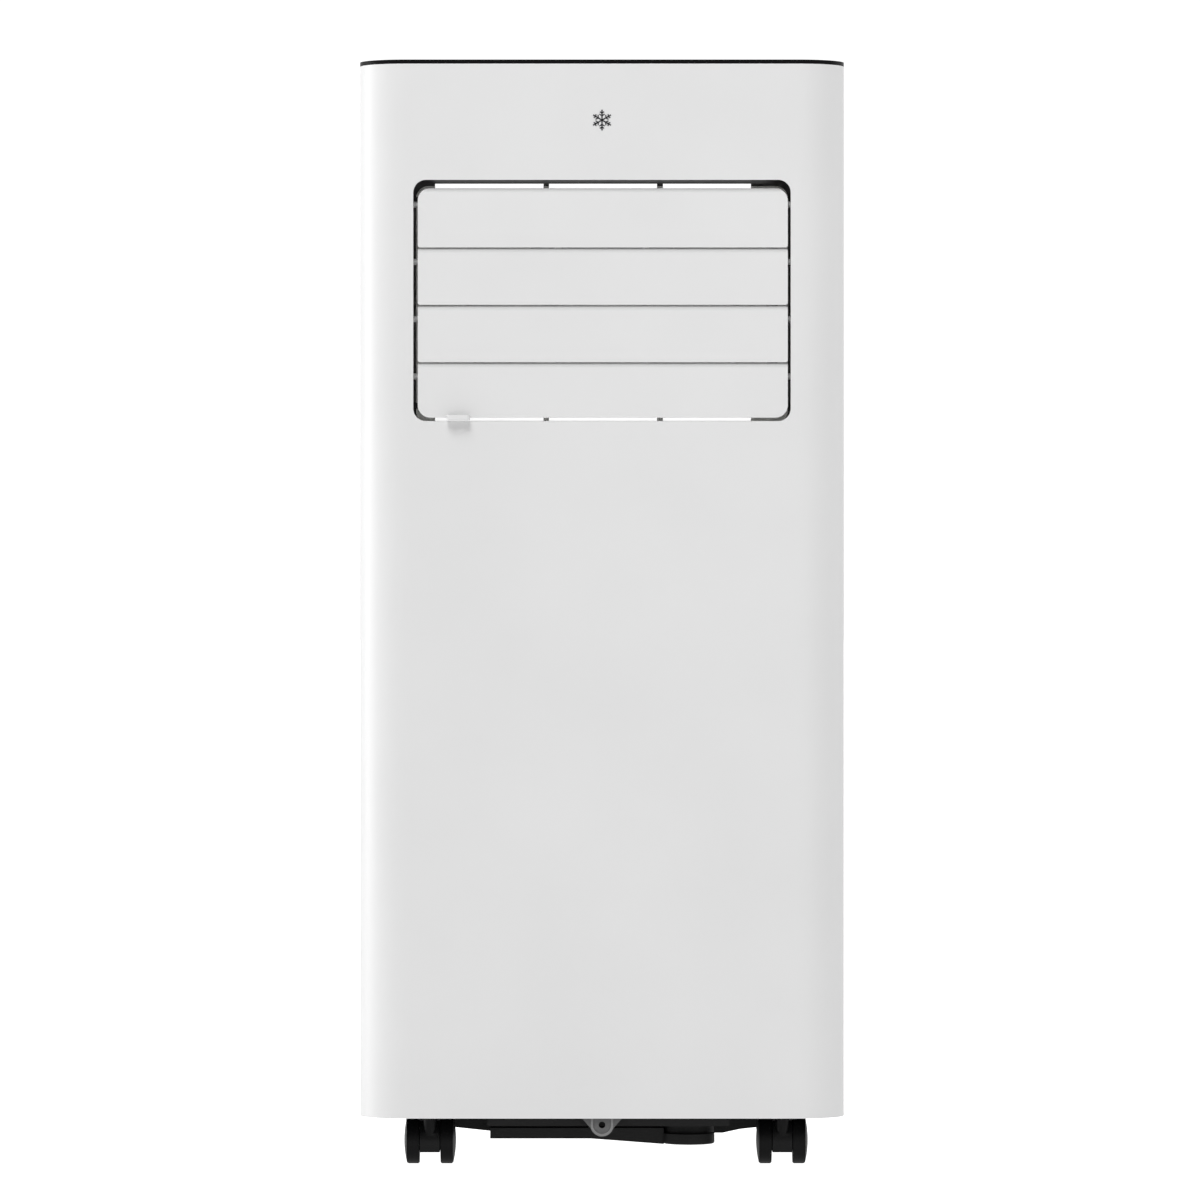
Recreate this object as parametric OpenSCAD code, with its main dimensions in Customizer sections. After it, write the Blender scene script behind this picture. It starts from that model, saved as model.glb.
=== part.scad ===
// Portable air conditioner on twin-wheel casters.
// Frame: +Z up, the front faces -Y, origin on the floor under the middle of the overall box.

/* [Casing] */
// Width of the casing
body_w = 307; // [304:1:308]
// Depth of the casing, without the finger tab and the exhaust collar
body_d = 300; // [298:1:306]
// Overall height from the floor to the top panel
body_h = 700; // [698:1:706]
// Height of the casing's lower edge above the floor
skirt_z = 32.2; // [31.8:0.1:32.4]
// Radius of the four upright edges
corner_r = 29; // [26:1:32]
// Wall of the moulded shells
wall = 2.5; // [2.2:0.1:2.8]
// Height of the black edge of the top panel
top_t = 2.6; // [2.4:0.1:2.8]
// Distance from the front face to the seam between the shells
seam_depth = 110; // [105:1:115]

/* [Air outlet] */
// Width of the outlet opening
outlet_w = 238; // [236:0.2:238]
// Height of the outlet opening
outlet_h = 152.2; // [151:0.2:153]
// Height of the middle of the outlet opening
outlet_z = 548.1; // [547:0.1:549]
// Corner radius of the outlet opening
outlet_r = 7.9; // [7:0.1:9]
// Pitch of the louvres
louvre_pitch = 36.2; // [36.1:0.05:36.25]
// Height of the top louvre's pivot
louvre_top_z = 609; // [609:0.1:610]
// Number of upright vanes behind the louvres
vane_n = 4; // [4]

/* [Controls] */
// Distance from the front face to the middle of the control strip
control_depth = 55; // [52:1:58]
// Radius of the three large keys
key_r = 7; // [6:0.5:7.5]
// Radius of the two small keys
small_key_r = 5.6; // [5:0.2:6]
// Travel of a key
key_travel = 0.8; // [0.6:0.1:0.8]

/* [Rear] */
// Width of the two intake openings
intake_w = 210; // [206:2:214]
// Radius of the exhaust collar's outside
collar_r = 62; // [60:1:62]
// How far the exhaust collar stands out of the casing
collar_out = 16; // [15:1:17]
// Outside radius of the two drain spouts
spout_r = 7.5; // [7:0.5:7.5]

/* [Casters] */
// Diameter of the caster wheels
wheel_d = 31; // [30:1:31]
// Width over a caster's two wheels
caster_w = 33; // [31:0.2:33]
// Distance from a caster's stem back to its axle
trail = 10.6; // [10:0.2:10.6]

/* [Hidden] */
$fn = 64;

tab_out = 6;                                   // finger tab in front of the front face
front_y = -(tab_out + body_d + collar_out) / 2 + tab_out;
back_y = front_y + body_d;
mid_y = (front_y + back_y) / 2;
seam_y = front_y + seam_depth;
shell_top = body_h - top_t;
inner_x = body_w / 2 - wall;
inner_back = back_y - wall;
gap = 0.3;                                     // clearance between neighbouring bodies
run = 0.06;                                    // radial clearance of a running fit
eps = 0.01;

// controls
strip_w = 172;
strip_d = 46;
strip_floor = body_h - 1.6;
strip_under = strip_floor - 3;
strip_y = front_y + control_depth;
board_z = strip_under - 9;                     // underside of the circuit board
board_t = 1.6;
window_size = [48, 20, 2];
key_places = [[-68, 0, key_r], [-42, 0, key_r], [42, 0, key_r], [68, 8.5, small_key_r],
    [68, -8.5, small_key_r]];

// louvres: the blade's front face stands this far behind the casing's front face
blade_set = 1.5;
blade_t = 2.2;
blade_w = 233.4;
blade_y = front_y + blade_set;
blade_up = 8.2;                                // from the pivot to the blade's upper edge
blade_down = 27.4;                             // from the pivot to the blade's lower edge
blade_top_extra = 1.8;                         // the top blade reaches a little higher
blade_low_trim = 1.2;                          // the lowest blade ends a little higher
blade_aside = 0.5;                             // the blades stand this far right of the middle
tab_drop = 1.6;                                // the finger tab hangs this far below its blade
pivot_y = blade_y + 8;
pivot_r = 2;
crank = [13, 8];                               // from the pivot to the crank pin, back and up
crank_r = 1.5;
crank_x = 104;
frame_wall = 3;
frame_end_y = front_y + 70;

// vanes
vane_y = front_y + 43;                         // pivot line of the upright vanes
vane_pitch = 56;
vane_chord = 24;
vane_low = outlet_z - 63.4;
vane_high = outlet_z + 63.4;
vane_arm = 18;
vane_link_z = outlet_z - 2;
rail_front = front_y + 28.6;
rail_segments = [[-105.9, -37.1], [-33.6, 34.9], [38.7, 94.5]];

// evaporator, upper half
evap_z = 573;
evap_wheel_r = 80;
evap_front = front_y + 123;
evap_back = front_y + 217;
evap_low = 461;
evap_high = 684;
coil_y = back_y - 48;
coil_t = 26;
coil_half = 122;

// condenser, lower half
cond_z = 192;
cond_wheel_r = 86;
cond_front = front_y + 157;
cond_back = front_y + 227;
cond_throat = [-6, 122];
cond_top = 326;
collar_x = (cond_throat[0] + cond_throat[1]) / 2;
collar_z = 389;

// rear openings: [lower edge, upper edge]
upper_intake = [472, 668];
lower_intake = [78, 305];
grille_pin_y = inner_back - 0.9;
barrel_r = 3.4;
spout_bore = 4.6;
spout_root_r = spout_r + 0.7;                   // thicker root inside and through the back
spout_root = back_y + 1;                        // where the root ends and the hose's seat begins
spout_end = back_y + 12;
upper_spout = [-95, 446];
lower_spout = [-60, 44];
gland_place = [112, 60];
screw_places = [[-88, 58], [88, 58], [-118, 459], [118, 459], [-112, 684], [112, 684]];
handle_y = front_y + 190;
handle_z = 610;
handle_size = [100, 34];

// base
pan_floor = 32.6;
pan_t = 3;
pocket_r = 29.5;
pocket_top = 38;
socket_top = 51;
stem_r = 4;
lug_hole_z = 28;
stem_places = [[-109.5, front_y + 40.4], [114.7, front_y + 40.4], [-113.5, back_y - 72.6],
    [118.5, back_y - 72.6]];
sump_x = 55.2;
sump_y = front_y + 54;
sump_low = 12.7;
sump_r = 16.6;
comp = [75, front_y + 77];
grommet_places = [for (a = [30, 150, 270]) comp + 62 * [cos(a), sin(a)]];
float_place = [-60, front_y + 120];
splash = [-40, 66];                            // x and height of the splash wheel's axis

// ---- shapes used again and again ----

// rounded rectangle about the origin, with true arcs
module rounded_rect(w, h, r) {
    square([w - 2 * r, h], center = true);
    square([w, h - 2 * r], center = true);
    for (sx = [-1, 1], sy = [-1, 1])
        translate([sx * (w / 2 - r), sy * (h / 2 - r)]) circle(r);
}

// carries a flat shape drawn in X and Z from y0 to y1
module along_y(y0, y1) {
    translate([0, y1, 0]) rotate([90, 0, 0]) linear_extrude(y1 - y0) children();
}

// carries a flat shape drawn in Y and Z from x0 to x1
module along_x(x0, x1) {
    translate([x0, 0, 0]) rotate([90, 0, 90]) linear_extrude(x1 - x0) children();
}

module along_z(z0, z1) {
    translate([0, 0, z0]) linear_extrude(z1 - z0) children();
}

module box(low, high) {
    translate(low) cube(high - low);
}

module rod_x(x0, x1, y, z, r) {
    along_x(x0, x1) translate([y, z]) circle(r);
}

module rod_y(y0, y1, x, z, r) {
    along_y(y0, y1) translate([x, z]) circle(r);
}

module rod_z(z0, z1, place, r) {
    along_z(z0, z1) translate(place) circle(r);
}

module ring(outer, inner) {
    difference() {
        circle(outer);
        circle(inner);
    }
}

module casing_outline(inset) {
    translate([0, mid_y]) rounded_rect(body_w - 2 * inset, body_d - 2 * inset, corner_r - inset);
}

module casing_wall(z0, z1, outer, inner) {
    along_z(z0, z1) difference() {
        casing_outline(outer);
        casing_outline(inner);
    }
}

module outlet_outline(grow) {
    translate([0, outlet_z])
        rounded_rect(outlet_w + 2 * grow, outlet_h + 2 * grow, outlet_r + grow);
}

// ---- casing ----

module front_shell() color("white") {
    difference() {
        casing_wall(skirt_z, shell_top, 0, wall);
        box([-body_w, seam_y, 0], [body_w, back_y + 1, body_h]);
        along_y(front_y - 1, front_y + wall + 1) outlet_outline(0);
    }
    // tongues that reach inside the rear shell at the seam
    for (side = [0, 1]) mirror([side, 0, 0]) {
        box([inner_x - 1.8, seam_y - 8, skirt_z + 18], [inner_x + eps, seam_y, shell_top - 12]);
        box([inner_x - 1.8, seam_y - 8, skirt_z + 18], [inner_x - 0.15, seam_y + 6, shell_top - 12]);
    }
    // stiffening ribs on the inside of the plain front
    for (z = [120 : 80 : 440])
        box([-120, front_y + wall - eps, z], [120, front_y + wall + 3, z + 1.8]);
}

module rear_shell() color("white") {
    difference() {
        union() {
            difference() {
                casing_wall(skirt_z, shell_top, 0, wall);
                box([-body_w, front_y - 1, 0], [body_w, seam_y, body_h]);
            }
            // ears for the pins of the two intake grilles
            for (span = [upper_intake, lower_intake], side = [0, 1]) mirror([side, 0, 0])
                box([intake_w / 2 + 0.4, inner_back - 6, span[0] - 1],
                    [intake_w / 2 + 6.4, inner_back + eps, span[0] + 9]);
        }
        for (span = [upper_intake, lower_intake])
            rod_x(-intake_w / 2 - 7, intake_w / 2 + 7, grille_pin_y, span[0] + barrel_r + 0.4,
                1.6 + run);
        for (span = [upper_intake, lower_intake]) {
            box([-intake_w / 2, inner_back - 1, span[0]], [intake_w / 2, back_y + 1, span[1]]);
            rod_y(inner_back - 1, back_y + 1, 0, span[1] - 1, 9);
        }
        rod_y(inner_back - 1, back_y + 1, collar_x, collar_z, collar_r + gap);
        for (s = [upper_spout, lower_spout])
            rod_y(inner_back - 1, back_y + 1, s[0], s[1], spout_root_r + 0.5);
        rod_y(inner_back - 1, back_y + 1, gland_place[0], gland_place[1], 7);
        for (s = screw_places) rod_y(inner_back - 1, back_y + 1, s[0], s[1], 1.8);
        along_x(-body_w, body_w) translate([handle_y, handle_z])
            rounded_rect(handle_size[0], handle_size[1], 10);
    }
}

module top_panel() color([0.08, 0.08, 0.09]) {
    difference() {
        union() {
            along_z(shell_top, body_h) casing_outline(0);
            casing_wall(shell_top - 8, shell_top + eps, wall + 0.2, wall + 2);
            along_z(strip_under, shell_top + eps)
                translate([0, strip_y]) rounded_rect(strip_w + 12, strip_d + 12, 12);
        }
        along_z(strip_floor, body_h + 1) translate([0, strip_y]) rounded_rect(strip_w, strip_d, 9);
        for (k = key_places)
            rod_z(strip_under - 1, body_h, [k[0], strip_y + k[1]], k[2] + gap);
        along_z(strip_floor - window_size[2], body_h) translate([0, strip_y])
            square([window_size[0] + 0.3, window_size[1] + 0.3], center = true);
        along_z(strip_under - 1, body_h) translate([0, strip_y])
            square([window_size[0] - 5, window_size[1] - 5], center = true);
    }
    // posts that carry the circuit board
    for (sx = [-1, 1], sy = [-1, 1])
        rod_z(board_z + board_t, strip_under + eps, [sx * 84, strip_y + sy * 23], 3);
    // lugs for the two upper screws at the back
    for (s = [screw_places[4], screw_places[5]]) difference() {
        box([s[0] - 5, inner_back - 9, s[1] - 6], [s[0] + 5, inner_back - 0.2, shell_top + eps]);
        rod_y(inner_back - 10, inner_back, s[0], s[1], 1.5 + run);
    }
}

module display_window() color([0.03, 0.03, 0.04]) {
    translate([-window_size[0] / 2, strip_y - window_size[1] / 2, strip_floor - window_size[2]])
        cube(window_size);
}

module control_board() color("seagreen") {
    difference() {
        box([-90, strip_y - 28, board_z], [90, strip_y + 28, board_z + board_t]);
        for (sx = [-1, 1], sy = [-1, 1])
            rod_z(board_z - 1, board_z + 3, [sx * 84, strip_y + sy * 23], 1.4);
    }
    for (k = key_places) {
        translate([k[0], strip_y + k[1], board_z + board_t + 1.3 - eps]) cube([6, 6, 2.6], center = true);
        rod_z(board_z + board_t, board_z + board_t + 3.3, [k[0], strip_y + k[1]], 1.7);
    }
    // display module under the window, and the plug of the ribbon
    box([-21, strip_y - 7, board_z + board_t - eps], [21, strip_y + 7, strip_under + 0.8]);
    box([-14, strip_y - 20, board_z - 6], [14, strip_y - 14, board_z + eps]);
}

module key(place) color([0.16, 0.16, 0.17]) {
    x = place[0];
    y = strip_y + place[1];
    r = place[2];
    translate([x, y, 0]) rotate_extrude() {
        translate([0, strip_under - 1.5]) square([r + 1.1, 1.2]);
        translate([0, strip_under - 0.8]) square([r, strip_floor - strip_under + 1]);
        translate([0, strip_under]) square([r - 0.8, strip_floor - strip_under + 1]);
        translate([r - 0.8, strip_floor + 0.2]) circle(0.8);
    }
    rod_z(board_z + board_t + 4.2, strip_under - 1, [x, y], 2);
}

// front view of the lug's round end, straight upwards from the hole
module lug_face(r) {
    translate([0, lug_hole_z]) circle(r);
    translate([-r, lug_hole_z]) square([2 * r, skirt_z - lug_hole_z]);
}

module fixing_lug() color([0.5, 0.5, 0.5]) {
    y0 = front_y + wall;
    difference() {
        union() {
            along_y(y0, y0 + 3) {
                lug_face(7.4);
                polygon([[-12.9, skirt_z + 0.2], [-6.9, lug_hole_z - 2.4], [6.9, lug_hole_z - 2.4],
                    [12.9, skirt_z + 0.2]]);
                translate([-12.9, skirt_z]) square([25.8, 22]);
            }
            // raised rim round the hole, open upwards and ending below the shell
            along_y(y0 - 0.8, y0 + eps) intersection() {
                difference() {
                    lug_face(7.1);
                    lug_face(5.6);
                }
                translate([-8, 0]) square([16, skirt_z - 0.1]);
            }
        }
        rod_y(y0 - 2, y0 + 4, 0, lug_hole_z, 2.1);
    }
}

// a pocket moulded in the side for the fingers, undercut upwards behind the grip edge
module handle_cups() color([0.93, 0.93, 0.93]) {
    w = handle_size[0] - 0.4;
    h = handle_size[1] - 0.4;
    depth = 22;
    for (side = [0, 1]) mirror([side, 0, 0]) difference() {
        union() {
            along_x(body_w / 2 - depth, body_w / 2 - 0.1) translate([handle_y, handle_z])
                rounded_rect(w, h, 9.8);
            along_x(inner_x - depth + wall, inner_x - 1.5) translate([handle_y, handle_z + 5])
                rounded_rect(w, h + 10, 9.8);
        }
        along_x(body_w / 2 - depth + 2, body_w / 2 + 1) translate([handle_y, handle_z])
            rounded_rect(w - 4, h - 4, 7.8);
        along_x(body_w / 2 - depth + 2, inner_x - 3.5) translate([handle_y, handle_z + 5])
            rounded_rect(w - 4, h + 6, 7.8);
    }
}

// drain spout from y0 inside to its end behind the casing
module spout(place, y0) {
    rod_y(y0, spout_root, place[0], place[1], spout_root_r);
    rod_y(spout_root - eps, spout_end, place[0], place[1], spout_r);
}

// ---- base ----

module base_pan() color([0.1, 0.1, 0.1]) {
    difference() {
        union() {
            // tray with its upstand
            along_z(pan_floor, pan_floor + pan_t) casing_outline(wall + 0.3);
            casing_wall(pan_floor, pan_floor + 16, wall + 0.3, wall + 2.5);
            for (s = stem_places) {
                intersection() {
                    rod_z(pan_floor, pocket_top + 2.5, s, pocket_r + 2.2);
                    along_z(0, body_h) casing_outline(wall + 0.3);
                }
                rod_z(pocket_top, socket_top, s, stem_r + 4);
            }
            // keel under the tray: a flat band, a groove, then the sump that falls to its low point
            box([-72.5, front_y + 12, 26.6], [80.5, front_y + 230, pan_floor + eps]);
            rod_z(24.9, pan_floor + eps, [53.7, front_y + 57], 27);
            box([-71.3, front_y + 60, 22], [72.9, front_y + 150, pan_floor + eps]);
            along_y(front_y + 50, front_y + 150)
                polygon([[-71.3, 22.6], [-71.3, 15.9], [-7.2, 15.9], [39.4, 12.4], [39.4, 22.6]]);
            box([39, front_y + 62, 13.5], [64, front_y + 150, 22.6]);
            rod_z(sump_low + 1.2, 19.3, [sump_x, sump_y], sump_r);
            translate([sump_x, sump_y, sump_low + 1.2]) rotate_extrude() {
                translate([0, -1.2]) square([sump_r - 1.2, 1.8]);
                translate([sump_r - 1.2, 0]) circle(1.2);
            }
            rod_z(19, pan_floor + eps, [sump_x, sump_y + 6], sump_r - 0.4);
            // sides that rise outward, inside of the casters' sweep
            along_y(front_y + 79, front_y + 150) {
                polygon([[-71.3, pan_floor + eps], [-122.5, pan_floor + eps], [-122.5, 24], [-71.3, 18.6]]);
                polygon([[64, pan_floor + eps], [128, pan_floor + eps], [128, 23.4], [99.3, 21],
                    [88.4, 19.8], [77.4, 17.4], [64, 17.4]]);
            }
            // studs under the compressor, posts for the two lower screws
            for (g = grommet_places) rod_z(pan_floor, 60, g, 3.6);
            for (s = [screw_places[0], screw_places[1]])
                box([s[0] - 5, inner_back - 10, pan_floor], [s[0] + 5, inner_back - 0.5, 64]);
            // drain spout through the back
            spout(lower_spout, inner_back - 14);
            box([lower_spout[0] - spout_root_r, inner_back - 14, pan_floor],
                [lower_spout[0] + spout_root_r, inner_back - 4, lower_spout[1]]);
        }
        // seat of the lug at the middle of the front edge
        box([-13.2, front_y, pan_floor - 1], [13.2, front_y + wall + 3.2, pan_floor + 17]);
        for (s = stem_places) {
            rod_z(10, pocket_top, s, pocket_r);
            rod_z(pocket_top - 1, socket_top + 1, s, stem_r + run);
        }
        for (s = [screw_places[0], screw_places[1]])
            rod_y(inner_back - 11, inner_back, s[0], s[1], 1.5 + run);
        rod_y(inner_back - 16, spout_end + 1, lower_spout[0], lower_spout[1], spout_bore);
    }
}

// moving part of a caster: stem, boss and the middle body between the wheels
module caster(place) color([0.1, 0.1, 0.1]) {
    web = 12.6;
    axle_y = place[1] + trail;
    axle_z = wheel_d / 2;
    difference() {
        union() {
            rod_z(34, socket_top + 2, place, stem_r);
            rod_z(axle_z + 3, 36.4, place, stem_r + 0.3);
            along_x(place[0] - web / 2, place[0] + web / 2) difference() {
                union() {
                    translate([axle_y, axle_z]) circle(axle_z - 0.3);
                    translate([axle_y - 9, axle_z]) square([17, axle_z - 0.3]);
                }
                translate([axle_y - 20, 0]) square([40, 8]);
            }
        }
        rod_x(place[0] - 20, place[0] + 20, axle_y, axle_z, 2.5 + run);
    }
}

// the two wheels of a caster on their axle
module caster_wheels(place) color([0.12, 0.12, 0.12]) {
    tread = 7.9;
    dome = 1.9;
    inner = caster_w / 2 - tread - dome;
    r = wheel_d / 2;
    dome_r = (r * r + dome * dome) / (2 * dome);
    translate([place[0], place[1] + trail, r]) {
        rotate([0, 90, 0]) cylinder(r = 2.5, h = 2 * inner + 2, center = true);
        for (side = [-90, 90]) rotate([0, side, 0]) rotate_extrude() {
            intersection() {
                translate([0, inner]) square([r - 0.5, tread + dome]);
                translate([0, inner + tread + dome - dome_r]) circle(dome_r, $fn = 256);
            }
            translate([r - 2, inner + 0.6]) square([2, tread - 1.2]);
        }
    }
}

// ---- air outlet ----

module outlet_frame() color([0.12, 0.12, 0.13]) {
    y0 = front_y + wall;
    difference() {
        union() {
            along_y(y0, frame_end_y) outlet_outline(frame_wall);
            along_y(y0, y0 + 2) outlet_outline(frame_wall + 1);
        }
        along_y(y0 - 1, frame_end_y + 1) outlet_outline(0);
        for (i = [0 : 3])
            rod_x(-outlet_w, outlet_w, pivot_y, louvre_top_z - i * louvre_pitch, pivot_r + run);
        // seats of the vane rails
        for (z = [outlet_z - outlet_h / 2 + 10, outlet_z + outlet_h / 2 - 10], side = [-1, 1])
            translate([side * (outlet_w / 2 + frame_wall / 2), rail_front + 13, z])
                cube([frame_wall + 2, 12, 4.4], center = true);
    }
}

// side view of a blade: flat, with its upper stretch curved back
module blade_profile(low, high) {
    bend = 3.2;
    bend_r = 4.4;
    translate([blade_y, low]) square([blade_t, high - low - bend]);
    intersection() {
        translate([blade_y + bend_r, high - bend]) ring(bend_r, bend_r - blade_t);
        translate([blade_y - 1, high - bend - eps]) square([8, bend + eps]);
    }
}

// front view of a blade with its own radius at the upper and the lower corners
module blade_outline(low, high, r_high, r_low) {
    mid = (low + high) / 2;
    translate([0, mid]) {
        intersection() {
            rounded_rect(blade_w, high - low, r_high);
            translate([-blade_w, 0]) square([2 * blade_w, high - low]);
        }
        intersection() {
            rounded_rect(blade_w, high - low, r_low);
            translate([-blade_w, low - high]) square([2 * blade_w, high - low + eps]);
        }
    }
}

module louvre(i) color("white") {
    z = louvre_top_z - i * louvre_pitch;
    low = z - blade_down + (i == 3 ? blade_low_trim : 0);
    high = z + blade_up + (i == 0 ? blade_top_extra : 0);
    pin_y = pivot_y + crank[0];
    pin_z = z + crank[1];
    back = blade_y + blade_t;
    half = blade_w / 2;
    translate([blade_aside, 0, 0]) intersection() {
        along_x(-half, half) blade_profile(low, high);
        along_y(blade_y - 1, blade_y + 9)
            blade_outline(low, high, i == 0 ? outlet_r : 1.3, i == 3 ? outlet_r : 1.3);
    }
    // ears and pivot pins at both ends
    for (side = [0, 1]) mirror([side, 0, 0]) {
        along_x(half - 4, half - 1) {
            translate([back - 1, z - 3.6]) square([pivot_y - back + 1, 7.2]);
            translate([pivot_y, z]) circle(3.6);
        }
        rod_x(half - 2, outlet_w / 2 + frame_wall - 0.5, pivot_y, z, pivot_r);
    }
    // crank arm and its pin
    along_x(crank_x, crank_x + 2.4) {
        polygon([[back - 0.8, z - 5], [pin_y, pin_z - 3], [pin_y, pin_z + 3], [back + 1, z + 5]]);
        translate([pin_y, pin_z]) circle(3);
    }
    rod_x(crank_x + 2, crank_x + 7.2, pin_y, pin_z, crank_r);
    // finger tab on the lowest blade
    if (i == 3) along_z(low - tab_drop, low - tab_drop + 3.2) translate([-90.5, blade_y]) {
        translate([-7.2, -4.5]) square([14.4, 4.6]);
        translate([-5.2, front_y - tab_out - blade_y]) square([10.4, 4]);
        for (side = [-1, 1]) translate([side * 5.2, front_y - tab_out - blade_y + 2]) circle(2);
        translate([-7.2, front_y - tab_out - blade_y + 2]) square([14.4, 2]);
    }
}

module louvre_link() color([0.9, 0.9, 0.9]) {
    y = pivot_y + crank[0];
    top = louvre_top_z + crank[1];
    low = top - 3 * louvre_pitch;
    along_x(crank_x + 3, crank_x + 5.6) difference() {
        union() {
            translate([y - 2.5, low]) square([5, top - low]);
            for (i = [0 : 3]) translate([y, top - i * louvre_pitch]) circle(2.9);
        }
        for (i = [0 : 3]) translate([y, top - i * louvre_pitch]) circle(crank_r + run);
    }
}

function vane_x(i) = (i - (vane_n - 1) / 2) * vane_pitch;

module vane_rails() color("white") {
    for (up = [0, 1]) translate([0, 0, outlet_z]) mirror([0, 0, 1 - up]) difference() {
        union() {
            box([-outlet_w / 2 + 0.3, rail_front, vane_high - outlet_z + 0.4],
                [outlet_w / 2 - 0.3, rail_front + 26, vane_high - outlet_z + 3.4]);
            for (s = rail_segments)
                box([s[0], rail_front, vane_high - outlet_z + 3],
                    [s[1], rail_front + 1.6, outlet_h / 2 - 0.9]);
            for (side = [-1, 1])
                translate([side * (outlet_w / 2 + 0.6), rail_front + 13, outlet_h / 2 - 10])
                    cube([3, 11.6, 3], center = true);
        }
        for (i = [0 : vane_n - 1])
            rod_z(0, outlet_h, [vane_x(i), vane_y], 1.5 + run);
    }
}

module vane(i) color([0.85, 0.85, 0.85]) {
    x = vane_x(i);
    along_z(vane_low + 0.3, vane_high - 0.3) translate([x, vane_y]) {
        square([1.6, vane_chord - 1.6], center = true);
        for (end = [-1, 1]) translate([0, end * (vane_chord / 2 - 0.8)]) circle(0.8);
        circle(2.2);
    }
    rod_z(vane_low - 3, vane_high + 3, [x, vane_y], 1.5);
    // arm with the pin that carries the link
    box([x - 1.6, vane_y + vane_chord / 2 - 2, vane_link_z - 4], [x + 1.6, vane_y + vane_arm, vane_link_z - 0.4]);
    rod_z(vane_link_z - 4, vane_link_z - 0.4, [x, vane_y + vane_arm], 2.4);
    rod_z(vane_link_z - 1, vane_link_z + 3.4, [x, vane_y + vane_arm], 1.2);
}

module vane_link() color([0.85, 0.85, 0.85]) {
    reach = vane_x(vane_n - 1);
    along_z(vane_link_z, vane_link_z + 2) translate([0, vane_y + vane_arm]) difference() {
        union() {
            square([2 * reach, 4.6], center = true);
            for (i = [0 : vane_n - 1]) translate([vane_x(i), 0]) circle(2.6);
        }
        for (i = [0 : vane_n - 1]) translate([vane_x(i), 0]) circle(1.2 + run);
    }
}

// ---- fans ----

// spiral that grows evenly through a full turn from the tongue
function spiral(r0, growth) = [for (a = [0 : 7.5 : 360]) (r0 + growth * a / 360) * [cos(a), sin(a)]];

module spiral_wall(r0, growth, t) {
    difference() {
        polygon(spiral(r0 + t, growth));
        polygon(spiral(r0, growth));
    }
}

// forward-curved wheel about Y, with its hub plate at the front
module blower(y0, y1, z, r, blades) {
    difference() {
        union() {
            rod_y(y0, y0 + 2, 0, z, r);
            rod_y(y0, y0 + 16, 0, z, 10);
        }
        rod_y(y0 - 1, y0 + 18, 0, z, 4 + run);
    }
    along_y(y1 - 4, y1) translate([0, z]) ring(r, r - 10);
    along_y(y0 + 1, y1 - 3) translate([0, z])
        for (i = [0 : blades - 1]) rotate(i * 360 / blades)
            translate([r - 10, 0]) rotate(28) translate([0, -0.6]) square([10.4, 1.2]);
}

// motor about Y with its flange against a plate at y1
module motor(y0, y1, z, r, shaft_end) {
    difference() {
        union() {
            rod_y(y0 + 3, y1 - 2, 0, z, r);
            rod_y(y0, y0 + 3.1, 0, z, r - 5);
            rod_y(y1 - 2, y1, 0, z, r + 8);
        }
        for (a = [45 : 90 : 315])
            rod_y(y1 - 3, y1 + 1, (r + 4.5) * cos(a), z + (r + 4.5) * sin(a), 2);
    }
    rod_y(y1 - 1, shaft_end, 0, z, 4);
}

module evaporator_scroll() color([0.9, 0.9, 0.88]) {
    half = coil_half + 2;
    duct_y = frame_end_y + 0.3;
    // duct from the wheel's housing to the outlet frame
    difference() {
        box([-half, duct_y, evap_low], [half, evap_front + 2, evap_high]);
        box([-half + 2, duct_y + 2, evap_low + 2], [half - 2, evap_front, evap_high - 2]);
        along_y(duct_y - 1, duct_y + 3) outlet_outline(0);
        rod_y(evap_front - 1, evap_front + 3, 0, evap_z, 45);
        box([-70, evap_front - 1, evap_z + 84], [70, evap_front + 3, evap_high - 4]);
    }
    along_y(evap_front + 1, evap_back - 1) translate([0, evap_z]) rotate(90)
        spiral_wall(evap_wheel_r + 6, 20, 2);
    // rear plate with its inlet ring, and the hood that reaches back to the coil
    difference() {
        union() {
            box([-half, evap_back - 2, evap_low], [half, coil_y - 0.4, evap_high]);
            rod_y(evap_back - 12, evap_back, 0, evap_z, 68);
        }
        box([-half + 2, evap_back, evap_low + 2], [half - 2, coil_y, evap_high - 2]);
        rod_y(evap_back - 13, evap_back + 1, 0, evap_z, 66);
    }
}

module evaporator_blower() color([0.2, 0.2, 0.22])
    blower(evap_front + 14, evap_back - 8, evap_z, evap_wheel_r, 32);

module evaporator_motor() color("silver")
    motor(evap_front - 44, evap_front - 0.2, evap_z, 40, evap_front + 28);

module condenser_scroll() color([0.16, 0.16, 0.17]) {
    throat_low = cond_z + 40;
    // front plate, spiral wall, throat and rear plate with its inlet ring
    difference() {
        union() {
            along_y(cond_front, cond_front + 2) cond_plate();
            along_y(cond_back - 2, cond_back) cond_plate();
            rod_y(cond_back - 12, cond_back, 0, cond_z, 74);
        }
        rod_y(cond_front - 1, cond_front + 3, 0, cond_z, 45);
        rod_y(cond_back - 14, cond_back + 1, 0, cond_z, 72);
    }
    along_y(cond_front + 1, cond_back - 1) {
        difference() {
            translate([0, cond_z]) mirror([1, 0]) rotate(110) spiral_wall(cond_wheel_r + 6, 26, 2);
            translate([cond_throat[0] + 2, throat_low])
                square([cond_throat[1] - cond_throat[0] - 4, cond_top - throat_low]);
        }
        for (x = [cond_throat[0], cond_throat[1] - 2])
            translate([x, x > 0 ? throat_low : cond_z + 92])
                square([2, cond_top - (x > 0 ? throat_low : cond_z + 92)]);
    }
}

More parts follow.
